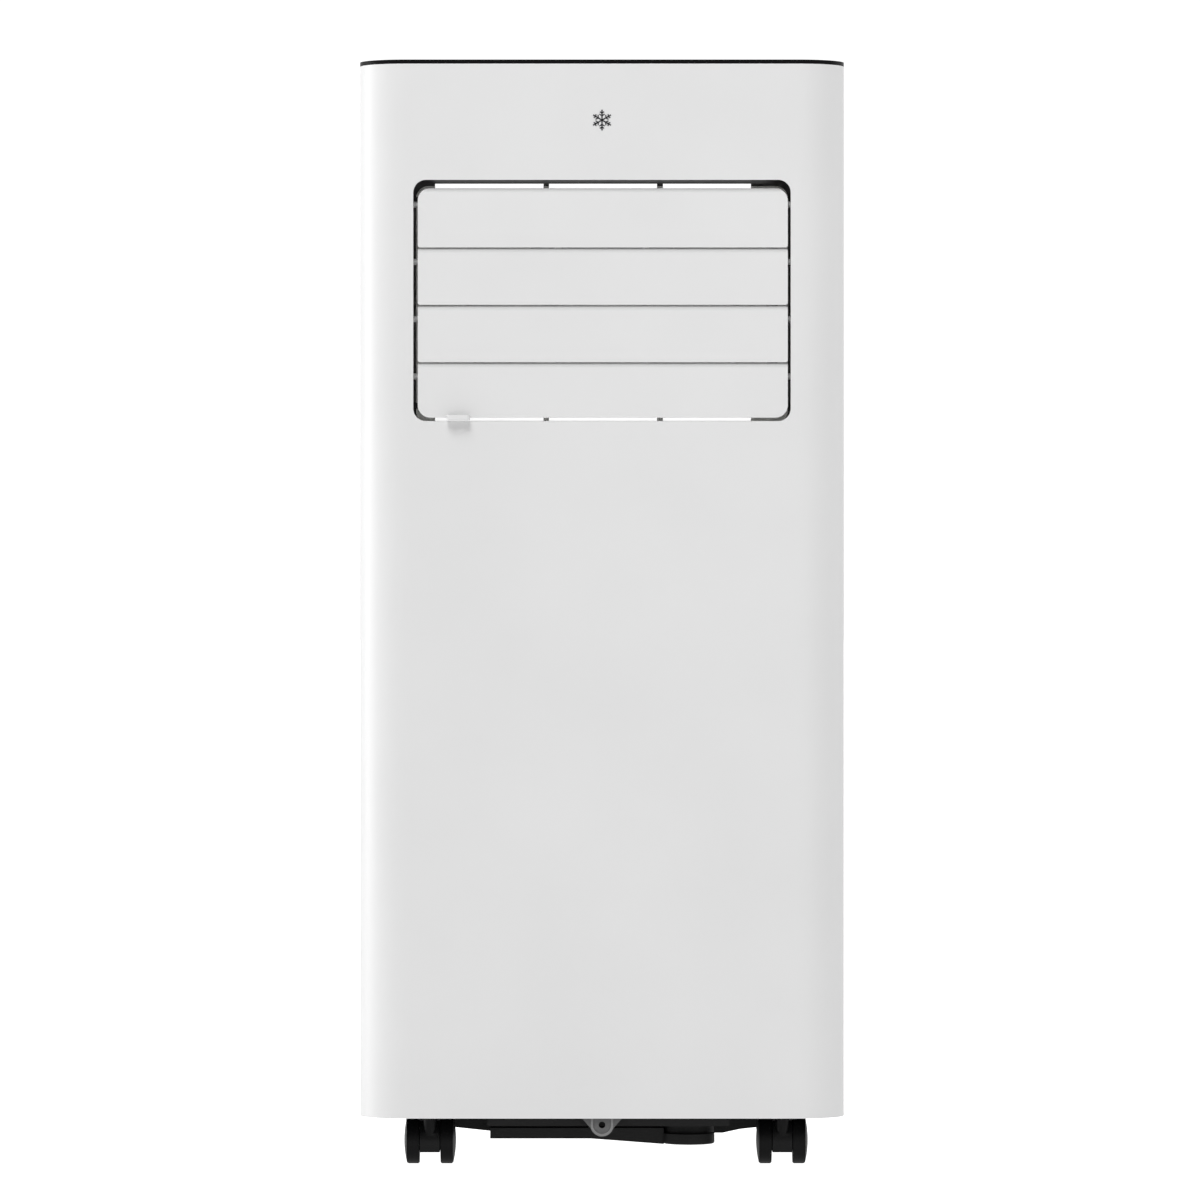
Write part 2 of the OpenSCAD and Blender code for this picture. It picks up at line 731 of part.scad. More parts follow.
module cond_plate() {
    translate([0, cond_z]) mirror([1, 0]) rotate(110) polygon(spiral(cond_wheel_r + 8, 26));
    translate([cond_throat[0], cond_z + 20])
        square([cond_throat[1] - cond_throat[0], cond_top - cond_z - 20]);
}

module condenser_blower() color([0.2, 0.2, 0.22])
    blower(cond_front + 10, cond_back - 8, cond_z, cond_wheel_r, 32);

module condenser_motor() color("silver")
    motor(cond_front - 46, cond_front - 0.2, cond_z, 40, cond_front + 24);

// box duct that turns the air back, with the round collar through the rear shell
module exhaust_duct() color([0.9, 0.9, 0.9]) {
    x0 = cond_throat[0] - 2;
    x1 = cond_throat[1] + 2;
    z1 = collar_z + collar_r + 2;
    difference() {
        union() {
            box([x0, cond_front, cond_top + 0.2], [x1, coil_y - 6, z1]);
            rod_y(coil_y - 8, back_y + collar_out, collar_x, collar_z, collar_r);
            rod_y(inner_back - 2.2, inner_back - 0.2, collar_x, collar_z, collar_r + 1.5);
        }
        box([x0 + 2, cond_front + 2, cond_top - 1], [x1 - 2, coil_y - 8, z1 - 2]);
        rod_y(coil_y - 9, back_y + collar_out + 1, collar_x, collar_z, collar_r - 2.5);
    }
    // lugs that lock the hose adapter
    for (a = [30, 150, 270])
        along_y(back_y + 6, back_y + 10) translate([collar_x, collar_z]) rotate(a)
            translate([collar_r - 0.5, -5]) square([1.7, 10]);
}

// finned block with end plates and return bends
module coil(z0, z1) {
    rows = floor((z1 - z0 - 20) / 36);
    pitch = (z1 - z0 - 20) / rows;
    y = coil_y + coil_t / 2;
    box([-coil_half + 12, coil_y + 1, z0 + 1], [coil_half - 4, coil_y + coil_t - 1, z1 - 1]);
    for (x = [-coil_half + 10, coil_half - 4.01])
        box([x, coil_y, z0], [x + 2.01, coil_y + coil_t, z1]);
    for (i = [0 : rows]) rod_x(-coil_half + 6, -coil_half + 10, y, z0 + 10 + i * pitch, 4);
    for (i = [0 : 2 : rows - 1])
        rod_z(z0 + 6 + i * pitch, z0 + 14 + (i + 1) * pitch, [-coil_half + 4, y], 4);
}

module evaporator_coil() color("silver") coil(evap_low + 3, evap_high - 4);

module condenser_coil() color("silver") coil(96, 321);

module partition_tray() color([0.85, 0.85, 0.85]) {
    z0 = collar_z + collar_r + 2.6;
    half = coil_half + 9;
    y0 = front_y + 96;
    y1 = inner_back - 2;
    difference() {
        union() {
            box([-half, y0, z0], [half, y1, z0 + 6.4]);
            for (s = [screw_places[2], screw_places[3]])
                box([s[0] - 5, inner_back - 10, z0], [s[0] + 5, inner_back - 0.3, z0 + 12]);
            box([upper_spout[0] - 9, inner_back - 24, upper_spout[1] - 9],
                [upper_spout[0] + 9, inner_back - 8, z0 + 1]);
            spout(upper_spout, inner_back - 9);
        }
        box([-half + 2, y0 + 2, z0 + 2.4], [half - 2, y1 - 10, z0 + 7]);
        for (s = [screw_places[2], screw_places[3]])
            rod_y(inner_back - 11, inner_back, s[0], s[1], 1.5 + run);
        rod_y(inner_back - 20, spout_end + 1, upper_spout[0], upper_spout[1], spout_bore);
        rod_z(upper_spout[1] - 1, z0 + 8, [upper_spout[0], inner_back - 16], 4);
    }
}

// ---- refrigerant circuit ----

module compressor() color([0.08, 0.08, 0.08]) {
    r = 50;
    z0 = 61;
    h = 178;
    dome = 22;
    translate([comp[0], comp[1], z0]) rotate_extrude() {
        translate([0, dome]) square([r, h - 2 * dome]);
        square([r - dome, h]);
        for (z = [dome, h - dome]) intersection() {
            translate([r - dome, z]) circle(dome);
            square([r, h]);
        }
    }
    // foot plate, terminal cover, suction accumulator and its strap
    difference() {
        union() {
            rod_z(57, 59.5, comp, 48);
            for (g = grommet_places) rod_z(57, 59.5, g, 11);
            for (a = [30, 150, 270]) along_z(57, 59.5) translate(comp) rotate(a)
                translate([0, -11]) square([62, 22]);
        }
        for (g = grommet_places) rod_z(56, 61, g, 4);
    }
    rod_z(59, 64, comp, 26);
    rod_z(z0 + h - 2, z0 + h + 12, comp + [-14, 8], 15);
    rod_z(z0 + h - 2, z0 + h + 8, comp + [20, -6], 4);
    accumulator = comp + [-72, -34];
    rod_z(100, 206, accumulator, 21);
    rod_z(94, 212, accumulator, 12);
    along_z(150, 162) translate(comp) rotate(25.3) translate([-60, -3]) square([14, 6]);
}

module compressor_grommets() color([0.06, 0.06, 0.06])
    for (g = grommet_places) difference() {
        union() {
            rod_z(pan_floor + pan_t, 56.9, g, 7);
            rod_z(pan_floor + pan_t, 42, g, 9.5);
            rod_z(50, 56.9, g, 9.5);
        }
        rod_z(pan_floor, 58, g, 3.7);
    }

// a pipe through the given corners, with ball-shaped elbows
module pipe(points, r) {
    for (i = [0 : len(points) - 2]) {
        d = points[i + 1] - points[i];
        length = norm(d);
        translate(points[i]) rotate([0, acos(d[2] / length), atan2(d[1], d[0])])
            cylinder(r = r, h = length);
    }
    for (i = [1 : len(points) - 2]) translate(points[i]) sphere(r);
}

module refrigerant_pipes() color([0.72, 0.45, 0.2]) {
    side = inner_x - 11;
    y = coil_y + coil_t / 2;
    accumulator = comp + [-72, -34];
    top = 239 + 8.2;
    pipe([[comp[0] + 20, comp[1] - 6, top], [comp[0] + 20, comp[1] - 6, 300],
        [side, comp[1] - 6, 300], [side, y, 300], [coil_half - 1.8, y, 300]], 3.5);
    pipe([[coil_half - 1.8, y, 116], [side, y, 116], [side, y - 22, 116], [side, y - 22, 486],
        [side, y, 486], [coil_half - 1.8, y, 486]], 3);
    pipe([[coil_half - 1.8, y, 520], [side, y, 520], [side, y - 48, 520], [side, y - 48, 314],
        [side, accumulator[1], 314], [accumulator[0], accumulator[1], 314],
        [accumulator[0], accumulator[1], 212.2]], 5);
}

module splash_wheel() color([0.2, 0.2, 0.22]) {
    y0 = cond_back + 27;
    x = splash[0];
    z = splash[1];
    difference() {
        union() {
            rod_y(y0, y0 + 2, x, z, 24);
            rod_y(y0, y0 + 8, x, z, 6);
            along_y(y0, y0 + 8) translate([x, z]) for (i = [0 : 11]) rotate(i * 30)
                translate([10, -0.8]) square([16, 1.6]);
        }
        rod_y(y0 - 1, y0 + 9, x, z, 2 + run);
    }
}

module splash_motor() color("silver") {
    y0 = cond_back + 2;
    x = splash[0];
    z = splash[1];
    rod_y(y0, y0 + 20, x, z, 14);
    rod_y(y0 + 19, y0 + 33, x, z, 2);
    box([x - 12, y0, pan_floor + pan_t], [x + 12, y0 + 3, z]);
    box([x - 12, y0, pan_floor + pan_t], [x + 12, y0 + 14, pan_floor + pan_t + 2]);
}

module float_switch() color([0.85, 0.85, 0.8]) {
    z0 = pan_floor + pan_t;
    rod_z(z0, z0 + 3, float_place, 12);
    rod_z(z0 + 2, z0 + 46, float_place, 3);
    rod_z(z0 + 30, z0 + 33, float_place, 7);
    rod_z(z0 + 42, z0 + 54, float_place, 8);
}

module float() color([0.95, 0.95, 0.9]) {
    z0 = pan_floor + pan_t + 3.4;
    difference() {
        rod_z(z0, z0 + 14, float_place, 12);
        rod_z(z0 - 1, z0 + 15, float_place, 3.3);
    }
}

// sheet-metal tray with a circuit board and terminal block; the mains enters from the gland
box_low = [-132, front_y + 12, 70];
box_high = [-58, front_y + 78, 236];

module electrical_box() color([0.75, 0.76, 0.78]) {
    difference() {
        box(box_low, box_high);
        box(box_low + [1.2, 1.2, 1.2], box_high + [-1.2, 1, -1.2]);
        rod_z(box_low[2] - 1, box_low[2] + 2, [(box_low[0] + box_high[0]) / 2, box_high[1] - 14], 7);
    }
    box(box_low + [6, 1.1, 70], [box_high[0] - 6, box_low[1] + 8, box_high[2] - 8]);
    for (x = [box_low[0] + 12 : 12 : box_high[0] - 16])
        box([x, box_low[1] + 7.9, 210], [x + 9, box_low[1] + 22, 222]);
}

module run_capacitors() color([0.85, 0.85, 0.86]) {
    y = box_low[1] + 32;
    rod_z(box_low[2] + 1.3, box_low[2] + 64, [box_low[0] + 22, y], 17);
    rod_z(box_low[2] + 1.3, box_low[2] + 52, [box_low[0] + 53, y], 12);
}

// ---- rear fittings ----

// hinged intake grille: its lower edge is a round barrel on two pins
module grille(span) {
    half = intake_w / 2 - 0.4;
    pin_z = span[0] + barrel_r + 0.4;
    low = span[0] + 14;
    high = span[1] - 14;
    rows = floor((high - low) / 9);
    bay = (2 * half - 20) / 3;
    difference() {
        box([-half, inner_back - 1.5, pin_z], [half, back_y, span[1] - 0.5]);
        for (i = [0 : rows - 1], j = [0 : 2])
            box([-half + 10 + j * bay + 2, inner_back - 2, low + i * 9],
                [-half + 10 + (j + 1) * bay - 2, back_y + 1, low + i * 9 + 5]);
        // finger notch under the upper edge
        rod_y(back_y - 1.6, back_y + 1, 0, span[1] - 1, 9);
    }
    rod_x(-half, half, grille_pin_y, pin_z, barrel_r);
    for (side = [0, 1]) mirror([side, 0, 0])
        rod_x(half - 1, half + 5, grille_pin_y, pin_z, 1.6);
}

// frame with a thin screen, clipped behind the grille
module filter(span) {
    y1 = inner_back - 1.5;
    low = span[0] + 9;
    high = span[1] - 6;
    difference() {
        box([-100, y1 - 3, low], [100, y1, high]);
        for (sx = [-1, 1])
            box([sx * 50 - 46, y1 - 4, low + 4], [sx * 50 + 46, y1 + 1, high - 4]);
    }
    for (sx = [-1, 1])
        box([sx * 50 - 47, y1 - 1.8, low + 3], [sx * 50 + 47, y1 - 1.2, high - 3]);
}

module upper_grille() color("white") grille(upper_intake);
module lower_grille() color("white") grille(lower_intake);
module upper_filter() color([0.35, 0.37, 0.4]) filter(upper_intake);
module lower_filter() color([0.35, 0.37, 0.4]) filter(lower_intake);

// rubber plug that pushes into a drain spout
module drain_plug(place) color([0.12, 0.12, 0.12]) {
    rod_y(spout_end - 11, spout_end + 1, place[0], place[1], spout_bore - run);
    rod_y(spout_end + 0.2, back_y + collar_out, place[0], place[1], 6.6);
}

module cable_gland() color([0.15, 0.15, 0.15]) {
    x = gland_place[0];
    z = gland_place[1];
    difference() {
        union() {
            rod_y(inner_back - 6, back_y + 4, x, z, 6.8);
            rod_y(back_y + 0.1, back_y + 3, x, z, 9);
            rod_y(inner_back - 3, inner_back - 0.2, x, z, 9);
        }
        rod_y(inner_back - 7, back_y + 5, x, z, 3.6);
    }
}

module housing_screws() color("gray")
    for (s = screw_places) {
        rod_y(back_y - 9, back_y + 0.1, s[0], s[1], 1.5);
        difference() {
            rod_y(back_y, back_y + 1.9, s[0], s[1], 3.3);
            for (a = [0, 90]) along_y(back_y + 0.8, back_y + 3) translate(s) rotate(a)
                square([3.8, 0.9], center = true);
        }
    }

front_shell();
rear_shell();
top_panel();
base_pan();
fixing_lug();
display_window();
control_board();
key(key_places[0]);  // key_power
key(key_places[1]);  // key_mode
key(key_places[2]);  // key_fan
key(key_places[3]);  // key_up
key(key_places[4]);  // key_down
outlet_frame();
louvre(0);  // louvre_1
louvre(1);  // louvre_2
louvre(2);  // louvre_3
louvre(3);  // louvre_4
louvre_link();
vane_rails();
vane(0);  // vane_1
vane(1);  // vane_2
vane(2);  // vane_3
vane(3);  // vane_4
vane_link();
evaporator_scroll();
evaporator_blower();
evaporator_motor();
evaporator_coil();
partition_tray();
condenser_scroll();
condenser_blower();
condenser_motor();
condenser_coil();
exhaust_duct();
compressor();
compressor_grommets();
refrigerant_pipes();
splash_wheel();
splash_motor();
float_switch();
float();
electrical_box();
run_capacitors();
upper_grille();
upper_filter();
lower_grille();
lower_filter();
handle_cups();
drain_plug(upper_spout);  // upper_drain_plug
drain_plug(lower_spout);  // lower_drain_plug
cable_gland();
housing_screws();
caster(stem_places[0]);  // caster_front_left
caster(stem_places[1]);  // caster_front_right
caster(stem_places[2]);  // caster_rear_left
caster(stem_places[3]);  // caster_rear_right
caster_wheels(stem_places[0]);  // wheels_front_left
caster_wheels(stem_places[1]);  // wheels_front_right
caster_wheels(stem_places[2]);  // wheels_rear_left
caster_wheels(stem_places[3]);  // wheels_rear_right
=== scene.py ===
"""Looks of a portable air conditioner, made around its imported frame."""
from math import cos, pi, radians, sin

import bmesh
import bpy
from bpy.props import FloatProperty, FloatVectorProperty, PointerProperty
from mathutils import Matrix, Vector


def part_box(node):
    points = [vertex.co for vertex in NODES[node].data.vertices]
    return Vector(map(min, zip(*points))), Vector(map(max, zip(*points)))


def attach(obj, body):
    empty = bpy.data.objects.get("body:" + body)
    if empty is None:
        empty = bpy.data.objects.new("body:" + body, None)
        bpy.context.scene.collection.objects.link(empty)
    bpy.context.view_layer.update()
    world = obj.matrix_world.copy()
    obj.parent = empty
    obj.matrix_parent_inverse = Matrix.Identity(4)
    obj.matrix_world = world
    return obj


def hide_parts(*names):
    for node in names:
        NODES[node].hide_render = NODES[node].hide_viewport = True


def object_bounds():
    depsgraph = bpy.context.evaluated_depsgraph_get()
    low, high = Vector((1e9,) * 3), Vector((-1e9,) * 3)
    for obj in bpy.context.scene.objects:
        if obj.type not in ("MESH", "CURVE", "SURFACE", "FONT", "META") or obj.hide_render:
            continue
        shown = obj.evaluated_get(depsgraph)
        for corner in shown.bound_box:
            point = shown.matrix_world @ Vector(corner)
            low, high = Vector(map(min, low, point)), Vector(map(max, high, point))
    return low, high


bl_info = {
    "name": "Portable air conditioner looks",
    "version": (1, 0, 0),
    "blender": (4, 5, 0),
    "location": "3D View > Sidebar > Cooler",
    "description": "Finishes and fine pieces for a portable air conditioner",
    "category": "Object",
}

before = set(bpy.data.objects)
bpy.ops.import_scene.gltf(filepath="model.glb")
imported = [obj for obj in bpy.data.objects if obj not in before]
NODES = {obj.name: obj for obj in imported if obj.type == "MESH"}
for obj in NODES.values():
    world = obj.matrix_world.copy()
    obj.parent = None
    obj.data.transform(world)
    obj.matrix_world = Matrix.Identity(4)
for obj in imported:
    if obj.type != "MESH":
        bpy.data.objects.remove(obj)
CAD_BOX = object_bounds()
MM = 0.001
CORNERS = ("front_left", "front_right", "rear_left", "rear_right")
FINGER_TAB = 6 * MM             # how far the lowest blade's tab stands in front of the casing
PRINT_SUNK = 0.15 * MM          # how deep the emblem reaches into the casing
PRINT_PROUD = 0.2 * MM          # how far the emblem stands out of the casing
INLAY_SUNK = 0.1 * MM           # how deep a figure or symbol reaches into the window or key
FIGURE_PROUD = 0.06 * MM        # how far a figure stands out of the window
SYMBOL_PROUD = 0.05 * MM        # how far a symbol stands out of its key
MERGE_DISTANCE = 1e-7           # corners closer than this are one corner


# ---- sizes and colours ----

class CasingLooks(bpy.types.PropertyGroup):
    """White casing, black top and the emblem."""
    white: FloatVectorProperty(name="White", description="Colour of the white mouldings", subtype="COLOR",
                               default=(0.80, 0.80, 0.80), min=0.0, max=1.0)
    white_roughness: FloatProperty(name="White roughness", description="Roughness of the white mouldings",
                                   default=0.42, min=0.0, max=1.0, subtype="FACTOR")
    edge: FloatProperty(name="Edge radius", description="Rounding of the mouldings' edges",
                        default=0.2 * MM, unit="LENGTH")
    emblem_height: FloatProperty(name="Emblem height", description="Height of the emblem's middle",
                                 default=661.8 * MM, unit="LENGTH")
    emblem_size: FloatProperty(name="Emblem size", description="Width over the snowflake's arms",
                               default=13.0 * MM, unit="LENGTH")
    # painted shade: how far the blades' rolled upper edges are painted darker, for the shadow of the blade
    # above
    rolled_painted_shade: FloatProperty(name="Rolled edge painted shade", description="Shade of a blade's rolled upper edge",
                                default=0.62, min=0.0, max=1.0, subtype="FACTOR")
    # painted light: within this reach a vane rail is white and glows though it is no lamp; beyond it the
    # rail is painted near black, a painted shade of its ends deep in the frame
    rail_glow_reach: FloatProperty(name="Rail glow reach", description="White of a vane rail, from the middle out",
                               default=107.0 * MM, unit="LENGTH")
    # painted highlight: past this plane the lug's raised rim is painted lighter, for the light the rim
    # catches
    lug_rim_highlight: FloatProperty(name="Lug rim highlight", description="Plane past which the lug is its raised rim",
                           default=152.9 * MM, unit="LENGTH")


class ControlLooks(bpy.types.PropertyGroup):
    """Symbols on the keys and figures in the window."""
    symbol: FloatVectorProperty(name="Symbol", description="Colour of the symbols on the keys",
                                subtype="COLOR", default=(0.75, 0.76, 0.78), min=0.0, max=1.0)
    glow: FloatVectorProperty(name="Figures", description="Colour of the lit figures", subtype="COLOR",
                              default=(0.75, 0.92, 1.0), min=0.0, max=1.0)
    figure_height: FloatProperty(name="Figure height", description="Height of a lit figure",
                                 default=11.0 * MM, unit="LENGTH")


class CoilLooks(bpy.types.PropertyGroup):
    """Fin packs and intake screens."""
    fin_pitch: FloatProperty(name="Fin pitch", description="Distance between two fins", default=1.8 * MM,
                             unit="LENGTH")
    fin: FloatProperty(name="Fin thickness", description="Thickness of a fin", default=0.2 * MM,
                       unit="LENGTH")
    tube: FloatProperty(name="Tube radius", description="Radius of the coil's tube", default=3.6 * MM,
                        unit="LENGTH")
    grille_edge: FloatProperty(name="Grille edge", description="Rounding of the intake grilles' edges",
                               default=0.3 * MM, unit="LENGTH")
    thread_pitch: FloatProperty(name="Thread pitch", description="Distance between a screen's threads",
                                default=2.0 * MM, unit="LENGTH")
    thread: FloatProperty(name="Thread", description="Width of a screen's thread", default=0.4 * MM,
                          unit="LENGTH")


class StageLooks(bpy.types.PropertyGroup):
    """Camera, floor and lights."""
    distance: FloatProperty(name="Distance", description="From the casing's front face to the camera",
                            default=4.5, unit="LENGTH")
    height: FloatProperty(name="Height", description="Height of the camera", default=0.3592, unit="LENGTH")
    aside: FloatProperty(name="Aside", description="Sideways place of the camera", default=-1.26 * MM,
                         unit="LENGTH")
    view_width: FloatProperty(name="View width", description="What the frame spans at the front face",
                              default=0.7566, unit="LENGTH")
    floor: FloatVectorProperty(name="Floor", description="Colour of the floor", subtype="COLOR",
                               default=(0.3, 0.3, 0.3), min=0.0, max=1.0)
    floor_glow: FloatProperty(name="Floor glow", description="Light the floor gives off", default=0.56)
    floor_lift: FloatProperty(name="Floor lift", description="Further glow that only the eye sees",
                              default=0.7)
    back_light: FloatProperty(name="Back light", description="Room light from behind the object",
                              default=1.1)
    front_light: FloatProperty(name="Front light", description="Room light from the camera's side",
                               default=0.05)
    key: FloatProperty(name="Key light", description="Power of the soft light high in front", default=375.0)
    fill: FloatProperty(name="Fill light", description="Power of the soft light low in front", default=6.0)
    side: FloatProperty(name="Side light", description="Power of the soft light on the left", default=26.0)
    rim: FloatProperty(name="Rim light", description="Power of the faint light on the right", default=4.0)


# ---- mesh helpers ----

def add_box(bm, low, high):
    """Box between two corners."""
    low, high = Vector(low), Vector(high)
    place = Matrix.Translation((low + high) / 2) @ Matrix.Diagonal((*(high - low), 1.0))
    bmesh.ops.create_cube(bm, size=1.0, matrix=place)


def add_rod(bm, start, end, radius, segments=16):
    """Round rod from start to end."""
    start, end = Vector(start), Vector(end)
    run = end - start
    place = Matrix.Translation((start + end) / 2) @ run.to_track_quat("Z", "Y").to_matrix().to_4x4()
    bmesh.ops.create_cone(bm, cap_ends=True, segments=segments, radius1=radius, radius2=radius,
                          depth=run.length, matrix=place)


def toward(share):
    """Direction in X and Y after that share of a turn from +Y."""
    return Vector((cos(share * 2 * pi + pi / 2), sin(share * 2 * pi + pi / 2)))


def add_bar(bm, start, end, width, low, high):
    """Flat bar in X and Y from start to end, between the heights low and high."""
    start, end = Vector(start), Vector(end)
    run = end - start
    turn = Matrix.Rotation(run.angle_signed(Vector((1, 0))), 4, "Z")
    middle = (start + end) / 2
    place = Matrix.Translation((middle.x, middle.y, (low + high) / 2)) @ turn
    size = Matrix.Diagonal((run.length, width, high - low, 1.0))
    bmesh.ops.create_cube(bm, size=1.0, matrix=place @ size)


def add_arc(bm, centre, radius, width, first, last, low, high, steps=20):
    """Flat ring or stretch of one, in X and Y, from the angle first to last in degrees."""
    inner, outer = radius - width / 2, radius + width / 2
    turned = Matrix.Rotation(radians(first), 3, "Z")
    outline = ((inner, low), (outer, low), (outer, high), (inner, high))
    corners = [turned @ Vector((r, 0, z)) for r, z in outline]
    ring = [bm.verts.new(Vector((centre[0], centre[1], 0)) + c) for c in corners]
    face = bm.faces.new(ring)
    full = last - first >= 360
    section = [*face.edges, *face.verts]
    if full:
        bmesh.ops.delete(bm, geom=[face], context="FACES_ONLY")
    else:
        section.append(face)
    bmesh.ops.spin(bm, geom=section, cent=(centre[0], centre[1], 0), axis=(0, 0, 1),
                   angle=radians(last - first), steps=steps, use_merge=full)


def piece(name, bm, material, body, smooth_angle=None):
    """Closes a mesh into an object that rides on a body."""
    bmesh.ops.remove_doubles(bm, verts=bm.verts, dist=MERGE_DISTANCE)
    # a spin leaves its corners and faces in a new order each run
    for parts, place in ((bm.verts, lambda vert: vert.co[:]),
                         (bm.faces, lambda face: face.calc_center_median()[:])):
        for index, part in enumerate(sorted(parts, key=place)):
            part.index = index
        parts.sort()
    bmesh.ops.recalc_face_normals(bm, faces=bm.faces)
    if smooth_angle is not None:
        for face in bm.faces:
            face.smooth = True
        for edge in bm.edges:
            if edge.is_manifold and edge.calc_face_angle(0) > radians(smooth_angle):
                edge.smooth = False
    mesh = bpy.data.meshes.new(name)
    bm.to_mesh(mesh)
    bm.free()
    made = bpy.data.objects.new(name, mesh)
    bpy.context.scene.collection.objects.link(made)
    mesh.materials.append(material)
    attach(made, body)
    return made


def dress(node, material, edge=0.0):
    """Gives a CAD node its finish and, where edge is set, softly rounded edges."""
    obj = NODES[node]
    obj.data.materials.clear()
    obj.data.materials.append(material)
    if edge:
        weld = obj.modifiers.new("weld", "WELD")
        weld.merge_threshold = 1e-6
        flat = obj.modifiers.new("flat faces", "DECIMATE")
        flat.decimate_type = "DISSOLVE"
        flat.angle_limit = radians(0.3)
        soft = obj.modifiers.new("edges", "BEVEL")
        soft.width = edge
        soft.segments = 2
        soft.limit_method = "ANGLE"
        soft.angle_limit = radians(35)
        soft.harden_normals = True
        soft.use_clamp_overlap = True
        even = obj.modifiers.new("even faces", "WEIGHTED_NORMAL")
        even.keep_sharp = True


# ---- finishes ----

def new_group(name, sockets_in, sockets_out):
    """Node group with its own sockets, and its input and output nodes."""
    tree = bpy.data.node_groups.new(name, "ShaderNodeTree")
    for label, kind, value in sockets_in:
        socket = tree.interface.new_socket(label, in_out="INPUT", socket_type=kind)
        socket.default_value = value
    for label, kind in sockets_out:
        tree.interface.new_socket(label, in_out="OUTPUT", socket_type=kind)
    return tree, tree.nodes.new("NodeGroupInput"), tree.nodes.new("NodeGroupOutput")


def moulded_group():
    """Fine erosion texture of a mould and the slow unevenness of a large moulding."""
    name = "Moulded skin"
    if name in bpy.data.node_groups:
        return bpy.data.node_groups[name]
    tree, inlet, outlet = new_group(
        name, [("Grain", "NodeSocketFloat", 2500.0), ("Wave", "NodeSocketFloat", 9.0)],
        [("Height", "NodeSocketFloat"), ("Mottle", "NodeSocketFloat")])
    link = tree.links.new
    where = tree.nodes.new("ShaderNodeTexCoord")
    grain = tree.nodes.new("ShaderNodeTexNoise")
    grain.inputs["Detail"].default_value = 3.0
    grain.inputs["Roughness"].default_value = 0.6
    wave = tree.nodes.new("ShaderNodeTexNoise")
    wave.inputs["Detail"].default_value = 2.0
    for noise, label in ((grain, "Grain"), (wave, "Wave")):
        link(where.outputs["Object"], noise.inputs["Vector"])
        link(inlet.outputs[label], noise.inputs["Scale"])
    link(grain.outputs["Fac"], outlet.inputs["Height"])
    link(wave.outputs["Fac"], outlet.inputs["Mottle"])
    return tree


def brushed_group():
    """Fine lines along one axis, as rolling or drawing leaves them on metal."""
    name = "Drawn lines"
    if name in bpy.data.node_groups:
        return bpy.data.node_groups[name]
    tree, inlet, outlet = new_group(
        name, [("Stretch", "NodeSocketVector", (4.0, 600.0, 600.0))],
        [("Height", "NodeSocketFloat"), ("Streak", "NodeSocketFloat")])
    link = tree.links.new
    where = tree.nodes.new("ShaderNodeTexCoord")
    pull = tree.nodes.new("ShaderNodeVectorMath")
    pull.operation = "MULTIPLY"
    lines = tree.nodes.new("ShaderNodeTexNoise")
    lines.inputs["Scale"].default_value = 1.0
    lines.inputs["Detail"].default_value = 4.0
    blotch = tree.nodes.new("ShaderNodeTexNoise")
    blotch.inputs["Scale"].default_value = 60.0
    link(where.outputs["Object"], pull.inputs[0])
    link(inlet.outputs["Stretch"], pull.inputs[1])
    link(pull.outputs[0], lines.inputs["Vector"])
    link(where.outputs["Object"], blotch.inputs["Vector"])
    link(lines.outputs["Fac"], outlet.inputs["Height"])
    link(blotch.outputs["Fac"], outlet.inputs["Streak"])
    return tree


class Finish:
    """A material being made: its tree, its shader and helpers to wire them."""

    def __init__(self, name, colour, roughness, metallic=0.0):
        self.material = bpy.data.materials.new(name)
        self.material.use_nodes = True
        self.tree = self.material.node_tree
        self.shader = self.tree.nodes["Principled BSDF"]
        self.colour = colour
        self.set("Base Color", (*colour, 1.0))
        self.set("Roughness", roughness)
        self.set("Metallic", metallic)

    def set(self, socket, value):
        self.shader.inputs[socket].default_value = value

    def node(self, kind, **inputs):
        made = self.tree.nodes.new(kind)
        for socket, value in inputs.items():
            made.inputs[socket].default_value = value
        return made

    def link(self, source, target):
        self.tree.links.new(source, target)

    def group(self, tree, **inputs):
        made = self.node("ShaderNodeGroup")
        made.node_tree = tree
        for socket, value in inputs.items():
            made.inputs[socket].default_value = value
        return made

    def ramp(self, source, low, high, start=0.3, end=0.7):
        """Value that goes from low to high as source goes from start to end."""
        made = self.node("ShaderNodeMapRange")
        for socket, value in (("From Min", start), ("From Max", end), ("To Min", low), ("To Max", high)):
            made.inputs[socket].default_value = value
        self.link(source, made.inputs["Value"])
        return made.outputs["Result"]

    def shade(self, source, spread):
        """Base colour that gets darker and lighter by spread as source varies."""
        mix = self.node("ShaderNodeMix")
        mix.data_type = "RGBA"
        mix.inputs["A"].default_value = (*[max(0.0, c * (1 - spread)) for c in self.colour], 1.0)
        mix.inputs["B"].default_value = (*[min(1.0, c * (1 + spread)) for c in self.colour], 1.0)
        self.link(self.ramp(source, 0.0, 1.0), mix.inputs["Factor"])
        self.link(mix.outputs["Result"], self.shader.inputs["Base Color"])
        return mix

    def bump(self, source, depth, strength=1.0):
        """Relief of the given depth in metres."""
        made = self.node("ShaderNodeBump", Strength=strength, Distance=depth)
        self.link(source, made.inputs["Height"])
        self.link(made.outputs["Normal"], self.shader.inputs["Normal"])


def moulded(name, colour, roughness, grain=2500.0, depth=4e-6, mottle=0.015, wave=9.0, coat=0.0,
            gloss=0.5, glow=0.0):
    """Moulded plastic or rubber: fine grain, slight mottle in colour and sheen."""
    made = Finish(name, colour, roughness)
    made.set("Specular IOR Level", gloss)
    made.set("Emission Color", (*colour, 1.0))
    made.set("Emission Strength", glow)
    skin = made.group(moulded_group(), Grain=grain, Wave=wave)
    made.shade(skin.outputs["Mottle"], mottle)
    made.link(made.ramp(skin.outputs["Mottle"], roughness - 0.03, roughness + 0.03),
              made.shader.inputs["Roughness"])
    made.bump(skin.outputs["Height"], depth)
    made.set("Coat Weight", coat)
    made.set("Coat Roughness", 0.05)
    return made.material


